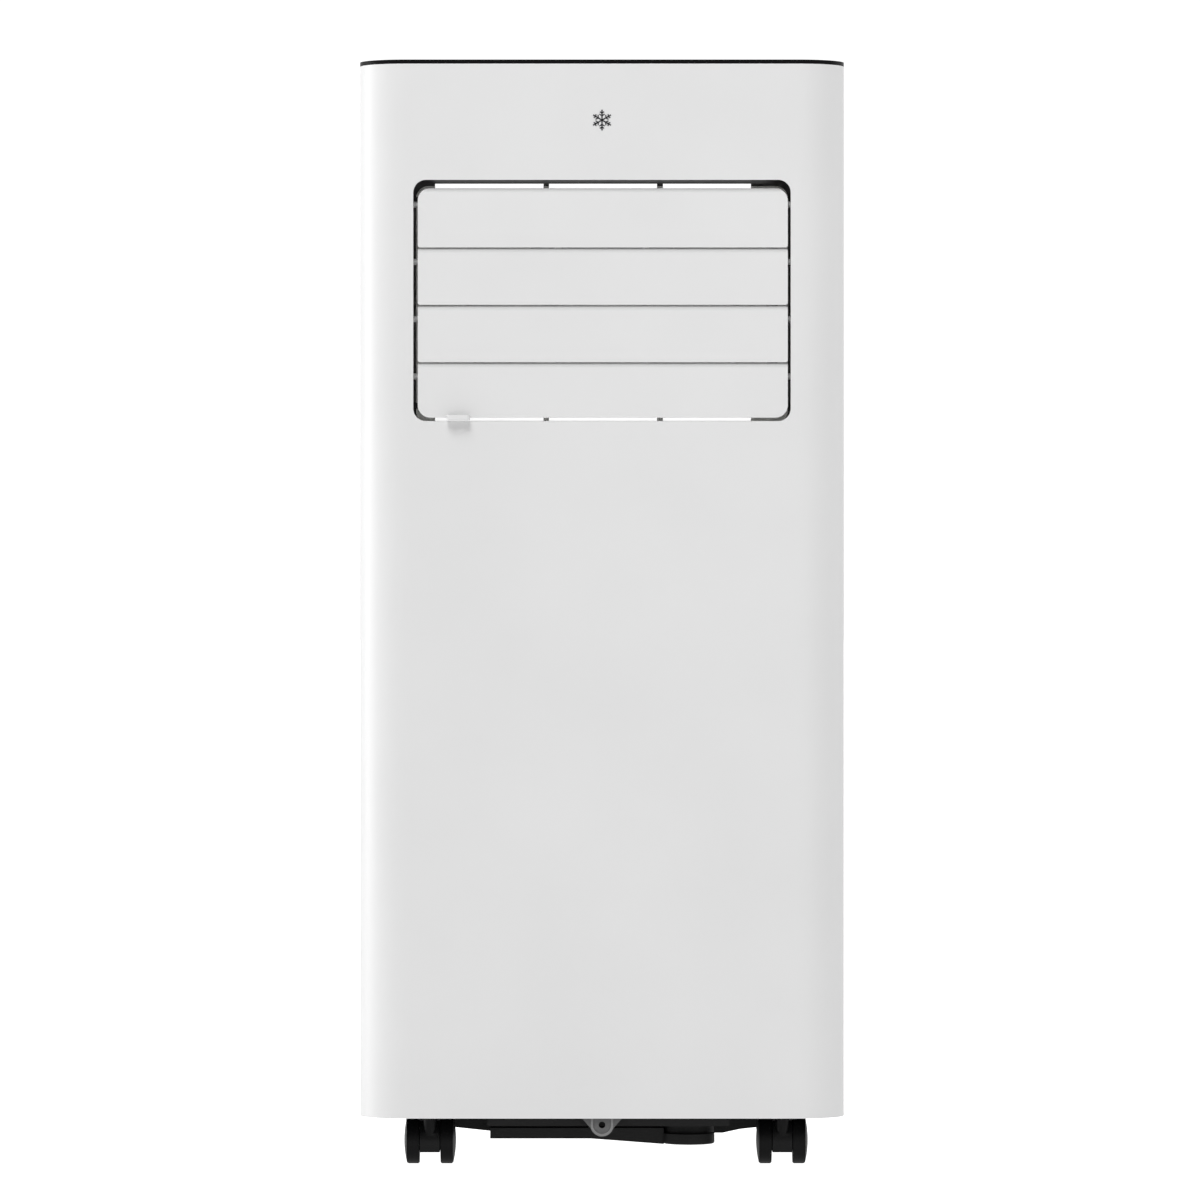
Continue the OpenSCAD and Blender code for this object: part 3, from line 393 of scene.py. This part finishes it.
def blade_with_painted_shade(name, colour, roughness, shade):
    """White moulding of a blade, with painted shade where its upper edge rolls back: faces that turn
    upwards are painted darker, for the shadow of the blade above.
    """
    made = Finish(name, colour, roughness)
    made.set("Specular IOR Level", 0.3)
    skin = made.group(moulded_group())
    tones = made.shade(skin.outputs["Mottle"], 0.015)
    where = made.node("ShaderNodeTexCoord")
    split = made.node("ShaderNodeSeparateXYZ")
    made.link(where.outputs["Normal"], split.inputs["Vector"])
    # painted shade: faces that turn upwards on the rolled edge are mixed toward a darker white
    roll = made.node("ShaderNodeMix")
    roll.data_type = "RGBA"
    roll.inputs["B"].default_value = (*[c * shade for c in colour], 1.0)
    made.link(made.ramp(split.outputs["Z"], 0.0, 1.0, 0.05, 0.6), roll.inputs["Factor"])
    made.link(tones.outputs["Result"], roll.inputs["A"])
    made.link(roll.outputs["Result"], made.shader.inputs["Base Color"])
    made.bump(skin.outputs["Height"], 3e-6)
    return made.material


def painted_light_band(name, inner, outer, roughness, axis, edge, depth, glow=0.0):
    """Moulded plastic in one colour up to a distance from the middle plane and another beyond it, as
    painted light: painted glow and painted shade on the vane rails, a painted highlight on the lug's rim.
    """
    made = Finish(name, inner, roughness)
    skin = made.group(moulded_group(), Grain=1500.0)
    where = made.node("ShaderNodeTexCoord")
    split = made.node("ShaderNodeSeparateXYZ")
    made.link(where.outputs["Object"], split.inputs["Vector"])
    away = made.node("ShaderNodeMath")
    away.operation = "ABSOLUTE"
    made.link(split.outputs[axis], away.inputs[0])
    tones = made.shade(skin.outputs["Mottle"], 0.05)
    # painted light: the colour beyond edge stands in for light and shade, not for a second colour of
    # plastic
    painted_band = made.node("ShaderNodeMix")
    painted_band.data_type = "RGBA"
    painted_band.inputs["B"].default_value = (*outer, 1.0)
    made.link(made.ramp(away.outputs["Value"], 0.0, 1.0, edge, edge + 0.1 * MM), painted_band.inputs["Factor"])
    made.link(tones.outputs["Result"], painted_band.inputs["A"])
    made.link(painted_band.outputs["Result"], made.shader.inputs["Base Color"])
    # painted glow: with glow above zero (the rails) the band's colour gives off light, though the part is
    # no lamp
    made.link(painted_band.outputs["Result"], made.shader.inputs["Emission Color"])
    made.set("Emission Strength", glow)
    made.bump(skin.outputs["Height"], depth)
    return made.material


def metal(name, colour, roughness, stretch=(4.0, 600.0, 600.0), depth=3e-6, mottle=0.08):
    """Rolled, drawn or plated metal."""
    made = Finish(name, colour, roughness, 1.0)
    lines = made.group(brushed_group(), Stretch=stretch)
    made.shade(lines.outputs["Streak"], mottle)
    made.link(made.ramp(lines.outputs["Height"], roughness - 0.07, roughness + 0.07),
              made.shader.inputs["Roughness"])
    made.bump(lines.outputs["Height"], depth)
    return made.material


def beaded_foam(name):
    """Expanded polystyrene: closed beads pressed against each other."""
    made = Finish(name, (0.82, 0.82, 0.80), 0.7)
    where = made.node("ShaderNodeTexCoord")
    beads = made.node("ShaderNodeTexVoronoi", Scale=260.0)
    made.link(where.outputs["Object"], beads.inputs["Vector"])
    made.shade(beads.outputs["Distance"], 0.05)
    made.bump(beads.outputs["Distance"], 2e-4)
    return made.material


def circuit_laminate(name):
    """Solder mask over a maze of tracks."""
    made = Finish(name, (0.012, 0.11, 0.045), 0.35)
    where = made.node("ShaderNodeTexCoord")
    tracks = made.node("ShaderNodeTexBrick", Scale=160.0, Bias=-0.2)
    tracks.inputs["Color1"].default_value = (0.012, 0.11, 0.045, 1.0)
    tracks.inputs["Color2"].default_value = (0.02, 0.17, 0.07, 1.0)
    tracks.inputs["Mortar"].default_value = (0.03, 0.26, 0.11, 1.0)
    tracks.inputs["Mortar Size"].default_value = 0.012
    made.link(where.outputs["Object"], tracks.inputs["Vector"])
    made.link(tracks.outputs["Color"], made.shader.inputs["Base Color"])
    made.bump(tracks.outputs["Fac"], 3e-5)
    made.set("Coat Weight", 0.4)
    return made.material


def lit(name, colour, strength):
    """Lit figure behind the window."""
    made = Finish(name, colour, 0.4)
    skin = made.group(moulded_group(), Grain=900.0, Wave=400.0)
    tones = made.shade(skin.outputs["Mottle"], 0.12)
    made.link(tones.outputs["Result"], made.shader.inputs["Emission Color"])
    made.set("Emission Strength", strength)
    made.bump(skin.outputs["Height"], 1e-6)
    return made.material


def finishes():
    """Every finish of the object, made once."""
    casing = bpy.context.scene.cooler_casing
    controls = bpy.context.scene.cooler_controls
    white = tuple(casing.white)
    rough = casing.white_roughness
    return {
        "white": moulded("White casing", white, rough),
        # the louvres get painted shade on their rolled upper edges
        "louvre": blade_with_painted_shade("White louvre", white, rough + 0.15, casing.rolled_painted_shade),
        # painted glow on the rails' middle and painted shade on their ends
        "rail": painted_light_band("White rail", (0.86, 0.86, 0.86), (0.004, 0.004, 0.004), 0.5, "X",
                         casing.rail_glow_reach, 4e-6, glow=1.05),
        "vane": moulded("White vane", (0.86, 0.86, 0.86), 0.5),
        "black_top": moulded("Black top", (0.006, 0.006, 0.0064), 0.4, depth=1e-6, mottle=0.1,
                             gloss=0.06),
        "window": moulded("Smoked window", (0.006, 0.006, 0.008), 0.06, depth=2e-7, mottle=0.1,
                          coat=1.0),
        "key": moulded("Dark key", (0.035, 0.036, 0.04), 0.4, depth=5e-6, mottle=0.06),
        "symbol": moulded("Printed symbol", tuple(controls.symbol), 0.5, depth=1e-6),
        "figures": lit("Lit figures", tuple(controls.glow), 2.5),
        "emblem": moulded("Printed emblem", (0.035, 0.035, 0.04), 0.4, depth=1e-6, mottle=0.05),
        "base": moulded("Black textured base", (0.014, 0.014, 0.014), 0.55, grain=900.0, depth=4e-5,
                        mottle=0.12, gloss=0.25),
        "caster": moulded("Black nylon", (0.006, 0.006, 0.0063), 0.4, grain=1500.0, depth=8e-6,
                          mottle=0.1, gloss=0.22),
        "wheel": moulded("Black wheel", (0.006, 0.006, 0.0063), 0.42, grain=1500.0, depth=1e-5,
                         mottle=0.12, gloss=0.14),
        # painted highlight on the lug's raised rim
        "lug": painted_light_band("Grey lug", (0.12, 0.12, 0.12), (0.22, 0.22, 0.22), 0.45, "Y",
                        casing.lug_rim_highlight, 8e-6),
        "frame": moulded("Dark outlet frame", (0.003, 0.003, 0.0031), 0.6, grain=1200.0, depth=2e-5,
                         mottle=0.1, gloss=0.1),
        "dark": moulded("Dark housing", (0.03, 0.03, 0.034), 0.5, grain=1200.0, depth=2e-5, mottle=0.1),
        "foam": beaded_foam("Beaded foam"),
        "board": circuit_laminate("Circuit laminate"),
        "steel": metal("Zinc plated steel", (0.56, 0.57, 0.58), 0.34),
        "screw": metal("Screw steel", (0.5, 0.5, 0.5), 0.3),
        "fins": metal("Fin stock", (0.80, 0.82, 0.83), 0.32, stretch=(500.0, 500.0, 5.0)),
        "can": metal("Drawn can", (0.78, 0.78, 0.79), 0.25, stretch=(400.0, 400.0, 6.0)),
        "copper": metal("Copper tube", (0.80, 0.42, 0.26), 0.3, stretch=(60.0, 60.0, 60.0),
                        mottle=0.15),
        "enamel": moulded("Black enamel", (0.012, 0.012, 0.012), 0.22, grain=500.0, depth=2e-5,
                          coat=0.5),
        "rubber": moulded("Black rubber", (0.02, 0.02, 0.02), 0.7, grain=1600.0, depth=1.5e-5,
                          mottle=0.1),
        "natural": moulded("Natural polypropylene", (0.78, 0.77, 0.70), 0.45),
        "screen": moulded("Nylon screen", (0.05, 0.055, 0.06), 0.55, depth=2e-6),
    }


# ---- operators ----

# soft lights: the property that holds the power, size, place
LAMPS = (
    ("key", 4.0, (-1.2, -4.6, 6.6)),
    ("fill", 1.6, (1.2, -3.6, 0.8)),
    ("side", 1.4, (-2.7, 0.5, 0.4)),
    ("rim", 1.4, (2.7, 0.9, 0.4)),
)
LAMP_AIM = Vector((0, 0, 0.36))
FLOOR_REACH = 60.0              # from the object to the floor's edge
ROOM_FALL = (-0.9, 0.7)         # directions along Y between which the room's light falls off


class COOLER_OT_stage(bpy.types.Operator):
    """Camera, floor, room light and four soft lights"""
    bl_idname = "cooler.stage"
    bl_label = "Stage"

    def execute(self, context):
        scene = context.scene
        looks = scene.cooler_stage
        front = CAD_BOX[0].y + FINGER_TAB
        camera = bpy.data.cameras.new("camera")
        camera.lens = camera.sensor_width * looks.distance / looks.view_width
        camera.clip_end = 100.0
        eye = bpy.data.objects.new("camera", camera)
        eye.location = (looks.aside, front - looks.distance, looks.height)
        eye.rotation_euler = (pi / 2, 0, 0)
        scene.collection.objects.link(eye)
        scene.camera = eye
        scene.view_settings.view_transform = "Standard"

        bm = bmesh.new()
        bmesh.ops.create_grid(bm, x_segments=1, y_segments=1, size=FLOOR_REACH)
        mesh = bpy.data.meshes.new("floor")
        bm.to_mesh(mesh)
        bm.free()
        floor = bpy.data.objects.new("floor", mesh)
        scene.collection.objects.link(floor)
        ground = Finish("Pale floor", tuple(looks.floor), 0.8)
        ground.set("Emission Color", (1.0, 1.0, 1.0, 1.0))
        seen = ground.node("ShaderNodeLightPath")
        glow = ground.node("ShaderNodeMath")
        glow.operation = "MULTIPLY_ADD"
        glow.inputs[1].default_value = looks.floor_lift
        glow.inputs[2].default_value = looks.floor_glow
        ground.link(seen.outputs["Is Camera Ray"], glow.inputs[0])
        ground.link(glow.outputs["Value"], ground.shader.inputs["Emission Strength"])
        mesh.materials.append(ground.material)

        # a white room for the eye; its light falls off toward the camera's side
        world = bpy.data.worlds.new("room")
        world.use_nodes = True
        tree = world.node_tree
        where = tree.nodes.new("ShaderNodeTexCoord")
        split = tree.nodes.new("ShaderNodeSeparateXYZ")
        fall = tree.nodes.new("ShaderNodeMapRange")
        for socket, value in (("From Min", ROOM_FALL[0]), ("From Max", ROOM_FALL[1]),
                              ("To Min", looks.front_light), ("To Max", looks.back_light)):
            fall.inputs[socket].default_value = value
        seen = tree.nodes.new("ShaderNodeLightPath")
        either = tree.nodes.new("ShaderNodeMix")
        either.inputs["B"].default_value = looks.back_light
        tree.links.new(where.outputs["Generated"], split.inputs["Vector"])
        tree.links.new(split.outputs["Y"], fall.inputs["Value"])
        tree.links.new(seen.outputs["Is Camera Ray"], either.inputs["Factor"])
        tree.links.new(fall.outputs["Result"], either.inputs["A"])
        tree.links.new(either.outputs["Result"], tree.nodes["Background"].inputs["Strength"])
        tree.nodes["Background"].inputs["Color"].default_value = (1.0, 1.0, 1.0, 1.0)
        scene.world = world

        for name, size, place in LAMPS:
            lamp = bpy.data.lights.new(name, "AREA")
            lamp.energy = getattr(looks, name)
            lamp.size = size
            holder = bpy.data.objects.new(name, lamp)
            holder.location = place
            aim = LAMP_AIM - Vector(place)
            holder.rotation_euler = aim.to_track_quat("-Z", "Y").to_euler()
            holder.visible_camera = False
            scene.collection.objects.link(holder)
        return {"FINISHED"}


class COOLER_OT_casing(bpy.types.Operator):
    """Shells, top panel, grips, base pan and lug"""
    bl_idname = "cooler.casing"
    bl_label = "Casing"

    def execute(self, context):
        edge = context.scene.cooler_casing.edge
        dress("front_shell", FINISH["white"], edge)
        dress("rear_shell", FINISH["white"], edge)
        dress("top_panel", FINISH["black_top"], edge / 4)
        dress("handle_cups", FINISH["white"], edge)
        dress("base_pan", FINISH["base"], edge)
        # the lug's finish paints its raised rim lighter, a painted highlight
        dress("fixing_lug", FINISH["lug"], edge / 2)
        dress("cable_gland", FINISH["rubber"], edge)
        dress("housing_screws", FINISH["screw"], edge / 4)
        return {"FINISHED"}


# snowflake, in shares of its arm: widths of arm and twig, and root and length of each pair of twigs
ARM_WIDTH = 0.13
TWIG_WIDTH = 0.85 * ARM_WIDTH
TWIGS = ((0.42, 0.30), (0.68, 0.24))
TWIG_ANGLE = radians(58)


class COOLER_OT_emblem(bpy.types.Operator):
    """Plain snowflake on the front"""
    bl_idname = "cooler.emblem"
    bl_label = "Emblem"

    def execute(self, context):
        looks = context.scene.cooler_casing
        reach = looks.emblem_size / 2
        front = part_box("front_shell")[0].y
        bm = bmesh.new()
        for arm in range(6):
            way = toward(arm / 6)
            if arm < 3:
                add_bar(bm, -way * reach, way * reach, ARM_WIDTH * reach, -PRINT_SUNK, PRINT_PROUD)
            for share, length in TWIGS:
                root = way * reach * share
                for side in (-1, 1):
                    turn = Matrix.Rotation(side * TWIG_ANGLE, 2)
                    add_bar(bm, root, root + (turn @ way) * reach * length, TWIG_WIDTH * reach,
                            -PRINT_SUNK, PRINT_PROUD)
        upright = Matrix.Translation((0, front, looks.emblem_height)) @ Matrix.Rotation(pi / 2, 4, "X")
        bmesh.ops.transform(bm, matrix=upright, verts=bm.verts)
        piece("emblem", bm, FINISH["emblem"], "casing")
        return {"FINISHED"}


# seven-bar figures, in shares of a figure's height
FIGURE_HALF_WIDTH = 0.28
FIGURE_BAR = 0.11               # width of a bar
FIGURE_SLACK = 0.075            # left free at each end of a bar
FIGURE_APART = 0.45             # from the window's middle to a figure's


def segment_figure(bm, centre, height, lit_segments, low, high):
    """One figure of seven bars in X and Y."""
    half, width = height / 2, height * FIGURE_HALF_WIDTH
    ends = {"a": ((-width, half), (width, half)), "g": ((-width, 0), (width, 0)),
            "d": ((-width, -half), (width, -half)), "f": ((-width, half), (-width, 0)),
            "b": ((width, half), (width, 0)), "e": ((-width, 0), (-width, -half)),
            "c": ((width, 0), (width, -half))}
    for name in lit_segments:
        start, end = (Vector(p) + Vector(centre) for p in ends[name])
        slack = (end - start).normalized() * height * FIGURE_SLACK
        add_bar(bm, start + slack, end - slack, height * FIGURE_BAR, low, high)


class COOLER_OT_controls(bpy.types.Operator):
    """Window, figures, keys and their symbols"""
    bl_idname = "cooler.controls"
    bl_label = "Controls"

    def execute(self, context):
        looks = context.scene.cooler_controls
        dress("display_window", FINISH["window"])
        dress("control_board", FINISH["board"])
        low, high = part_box("display_window")
        middle = (low + high) / 2
        bm = bmesh.new()
        for side, segments in ((-1, "abged"), (1, "fgbc")):
            x = middle.x + side * looks.figure_height * FIGURE_APART
            segment_figure(bm, (x, middle.y), looks.figure_height, segments,
                           high.z - INLAY_SUNK, high.z + FIGURE_PROUD)
        piece("figures", bm, FINISH["figures"], "casing")
        for key, draw in (("power", power_symbol), ("mode", mode_symbol), ("fan", fan_symbol),
                          ("up", up_symbol), ("down", down_symbol)):
            node = "key_" + key
            dress(node, FINISH["key"])
            low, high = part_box(node)
            bm = bmesh.new()
            middle = ((low + high) / 2).to_2d()
            draw(bm, middle, high.z - INLAY_SUNK, high.z + SYMBOL_PROUD)
            piece(key + "_symbol", bm, FINISH["symbol"], node)
        return {"FINISHED"}


def power_symbol(bm, at, low, high):
    """Broken ring with a stroke."""
    add_arc(bm, at, 2.6 * MM, 0.6 * MM, 125, 415, low, high, 28)
    add_bar(bm, at + Vector((0, 0.8 * MM)), at + Vector((0, 3.4 * MM)), 0.6 * MM, low, high)


def mode_symbol(bm, at, low, high):
    """Ring with eight short rays."""
    add_arc(bm, at, 1.5 * MM, 0.55 * MM, 0, 360, low, high, 24)
    for ray in range(8):
        way = toward(ray / 8 - 1 / 4)
        add_bar(bm, at + way * 2.4 * MM, at + way * 3.5 * MM, 0.5 * MM, low, high)


def fan_symbol(bm, at, low, high):
    """Hub with three curved blades."""
    add_arc(bm, at, 0.7 * MM, 0.5 * MM, 0, 360, low, high, 16)
    for blade in range(3):
        start = 60 + 120 * blade
        add_arc(bm, at + toward(blade / 3) * 2.3 * MM, 1.2 * MM, 0.55 * MM, start, start + 240,
                low, high, 18)


def arrow(bm, at, low, high, sign):
    """Two strokes that meet in a point."""
    tip = at + Vector((0, sign * 1.3 * MM))
    for side in (-1, 1):
        add_bar(bm, tip, at + Vector((side * 2.3 * MM, -sign * 1.1 * MM)), 0.7 * MM, low, high)


def up_symbol(bm, at, low, high):
    """Point upwards."""
    arrow(bm, at, low, high, 1)


def down_symbol(bm, at, low, high):
    """Point downwards."""
    arrow(bm, at, low, high, -1)


class COOLER_OT_outlet(bpy.types.Operator):
    """Outlet frame, louvres, vanes, their links and rails"""
    bl_idname = "cooler.outlet"
    bl_label = "Air outlet"

    def execute(self, context):
        edge = context.scene.cooler_casing.edge
        dress("outlet_frame", FINISH["frame"])
        for number in range(1, 5):
            # painted shade on the blades' rolled upper edges comes with this finish
            dress(f"louvre_{number}", FINISH["louvre"], edge * 0.7)
            dress(f"vane_{number}", FINISH["vane"])
        dress("louvre_link", FINISH["louvre"])
        dress("vane_link", FINISH["vane"])
        # painted glow and painted shade come with the rails' finish
        dress("vane_rails", FINISH["rail"])
        return {"FINISHED"}


class COOLER_OT_casters(bpy.types.Operator):
    """Caster bodies and wheels"""
    bl_idname = "cooler.casters"
    bl_label = "Casters"

    def execute(self, context):
        edge = context.scene.cooler_casing.edge
        for corner in CORNERS:
            dress("caster_" + corner, FINISH["caster"], edge)
            dress("wheels_" + corner, FINISH["wheel"])
        return {"FINISHED"}


FILTER_RIM = 4 * MM
FILTER_RIB = (1.4 * MM, 2 * MM)     # depth and height of the ribs across a filter's frame
SCREEN_BACK = 1.5 * MM              # from the frame's rear face to the middle of the screen


class COOLER_OT_intakes(bpy.types.Operator):
    """Intake grilles and the filters clipped behind them"""
    bl_idname = "cooler.intakes"
    bl_label = "Intakes"

    def execute(self, context):
        looks = context.scene.cooler_coils
        rim, half = FILTER_RIM, looks.thread / 2
        for which in ("upper", "lower"):
            dress(which + "_grille", FINISH["white"], looks.grille_edge)
            low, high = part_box(which + "_filter")
            bm = bmesh.new()
            # rim, middle post and ribs of the frame
            add_box(bm, low, (high.x, high.y, low.z + rim))
            add_box(bm, (low.x, low.y, high.z - rim), high)
            for left, right in ((low.x, low.x + rim), (-rim, rim), (high.x - rim, high.x)):
                add_box(bm, (left, low.y, low.z + rim / 2), (right, high.y, high.z - rim / 2))
            depth, height = FILTER_RIB
            for level in (1 / 3, 2 / 3):
                z = low.z + (high.z - low.z) * level
                add_box(bm, (low.x + rim, low.y, z - height / 2),
                        (high.x - rim, low.y + depth, z + height / 2))
            piece(which + "_filter_frame", bm, FINISH["dark"], which + "_intake")
            # woven screen: threads both ways, those that lie across a little further back
            bm = bmesh.new()
            middle = high.y - SCREEN_BACK
            across = int((high.x - low.x - 2 * rim) / looks.thread_pitch)
            along = int((high.z - low.z - 2 * rim) / looks.thread_pitch)
            for i in range(1, across):
                x = low.x + rim + i * looks.thread_pitch
                add_box(bm, (x - half, middle - half, low.z + rim),
                        (x + half, middle + half, high.z - rim))
            for i in range(1, along):
                z = low.z + rim + i * looks.thread_pitch
                add_box(bm, (low.x + rim, middle - half * 0.6, z - half),
                        (high.x - rim, middle + half * 1.4, z + half))
            screen = piece(which + "_filter_screen", bm, FINISH["screen"], which + "_intake")
            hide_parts(which + "_filter")
        return {"FINISHED"}


LEFT_PLATE = 12 * MM                # from a coil's left end to the middle of its left plate
RIGHT_PLATE = 2 * MM                # from its right end to the middle of its right plate
PLATE_HALF = 1 * MM                 # half the thickness of an end plate
FIN_INSET = 1 * MM                  # from an end plate's edge to a fin's
TUBE_MARGIN = 10 * MM               # from the coil's lower edge to its lowest tube, and as above
TUBE_PITCH = 24 * MM                # wished distance between two tubes
TUBE_COLUMNS = (0.3, 0.7)           # shares of the coil's depth
TUBE_LEFT = 3 * MM                  # from the left plate's middle to the tubes' left ends
TUBE_RIGHT = 1.5 * MM               # from the right plate's middle to their right ends


class COOLER_OT_coils(bpy.types.Operator):
    """Fin packs, tubes, end plates and return bends"""
    bl_idname = "cooler.coils"
    bl_label = "Coils"

    def execute(self, context):
        looks = context.scene.cooler_coils
        for node in ("evaporator_coil", "condenser_coil"):
            low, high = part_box(node)
            left, right = low.x + LEFT_PLATE, high.x - RIGHT_PLATE
            bm = bmesh.new()
            first = left + 2 * PLATE_HALF
            count = int((right - left - 4 * PLATE_HALF) / looks.fin_pitch)
            for i in range(count):
                x = first + (i + 0.5) * looks.fin_pitch
                add_box(bm, (x - looks.fin / 2, low.y + FIN_INSET, low.z + FIN_INSET),
                        (x + looks.fin / 2, high.y - FIN_INSET, high.z - FIN_INSET))
            for x in (left, right):
                add_box(bm, (x - PLATE_HALF, low.y, low.z), (x + PLATE_HALF, high.y, high.z))
            pack = piece(node + "_fins", bm, FINISH["fins"], "casing")
            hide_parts(node)
            self.tubes(node, low, high, left - TUBE_LEFT, right + TUBE_RIGHT, looks.tube)
        return {"FINISHED"}

    def tubes(self, node, low, high, start, end, radius):
        """Straight tubes through the fins, joined in pairs by bends at their left end."""
        bm = bmesh.new()
        span = high.z - low.z - 2 * TUBE_MARGIN
        rows = int(span / TUBE_PITCH)
        pitch = span / rows
        for column in TUBE_COLUMNS:
            y = low.y + (high.y - low.y) * column
            heights = [low.z + TUBE_MARGIN + row * pitch for row in range(rows + 1)]
            for z in heights:
                add_rod(bm, (start, y, z), (end, y, z), radius)
            for z in heights[:-1:2]:
                upright = Matrix.Translation((start, y, z)) @ Matrix.Rotation(pi / 2, 4, "Y")
                ring = bmesh.ops.create_circle(bm, segments=12, radius=radius, matrix=upright)["verts"]
                edges = dict.fromkeys(edge for vert in ring for edge in vert.link_edges)
                bmesh.ops.spin(bm, geom=[*ring, *edges], cent=(start, y, z + pitch / 2),
                               axis=(0, 1, 0), angle=pi, steps=16, use_merge=False)
        open_ends = [edge for edge in bm.edges if edge.is_boundary]
        bmesh.ops.holes_fill(bm, edges=open_ends, sides=0)
        piece(node + "_tubes", bm, FINISH["copper"], "casing", 40)


# finishes of the parts inside the casing
INNER_PARTS = (
    ("foam", ("evaporator_scroll", "partition_tray")),
    ("white", ("exhaust_duct",)),
    ("dark", ("condenser_scroll", "evaporator_blower", "condenser_blower", "splash_wheel")),
    ("steel", ("evaporator_motor", "condenser_motor", "splash_motor", "electrical_box")),
    ("enamel", ("compressor",)),
    ("rubber", ("compressor_grommets",)),
    ("copper", ("refrigerant_pipes",)),
    ("natural", ("float_switch", "float")),
    ("can", ("run_capacitors",)),
    ("rubber", ("upper_drain_plug", "lower_drain_plug")),
)


class COOLER_OT_inside(bpy.types.Operator):
    """Fans, motors, housings and the refrigerant circuit"""
    bl_idname = "cooler.inside"
    bl_label = "Inside"

    def execute(self, context):
        for finish, nodes in INNER_PARTS:
            for node in nodes:
                dress(node, FINISH[finish])
        return {"FINISHED"}


class COOLER_PT_parts(bpy.types.Panel):
    """Lists the operators in the order they run"""
    bl_idname = "COOLER_PT_parts"
    bl_label = "Portable air conditioner"
    bl_space_type = "VIEW_3D"
    bl_region_type = "UI"
    bl_category = "Cooler"

    def draw(self, context):
        for operator in OPERATORS:
            self.layout.operator(operator.bl_idname)


GROUPS = {"cooler_casing": CasingLooks, "cooler_controls": ControlLooks, "cooler_coils": CoilLooks,
          "cooler_stage": StageLooks}
OPERATORS = (COOLER_OT_stage, COOLER_OT_casing, COOLER_OT_emblem, COOLER_OT_controls, COOLER_OT_outlet,
             COOLER_OT_casters, COOLER_OT_intakes, COOLER_OT_coils, COOLER_OT_inside)
FINISH = {}


def register():
    for group in GROUPS.values():
        bpy.utils.register_class(group)
    for operator in OPERATORS:
        bpy.utils.register_class(operator)
    bpy.utils.register_class(COOLER_PT_parts)
    for name, group in GROUPS.items():
        setattr(bpy.types.Scene, name, PointerProperty(type=group))


def unregister():
    for name in GROUPS:
        delattr(bpy.types.Scene, name)
    bpy.utils.unregister_class(COOLER_PT_parts)
    for operator in reversed(OPERATORS):
        bpy.utils.unregister_class(operator)
    for group in reversed(list(GROUPS.values())):
        bpy.utils.unregister_class(group)


def main():
    """Registers the add-on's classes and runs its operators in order."""
    register()
    FINISH.update(finishes())
    for operator in OPERATORS:
        area, name = operator.bl_idname.split(".")
        getattr(getattr(bpy.ops, area), name)()


if __name__ == "__main__":
    main()
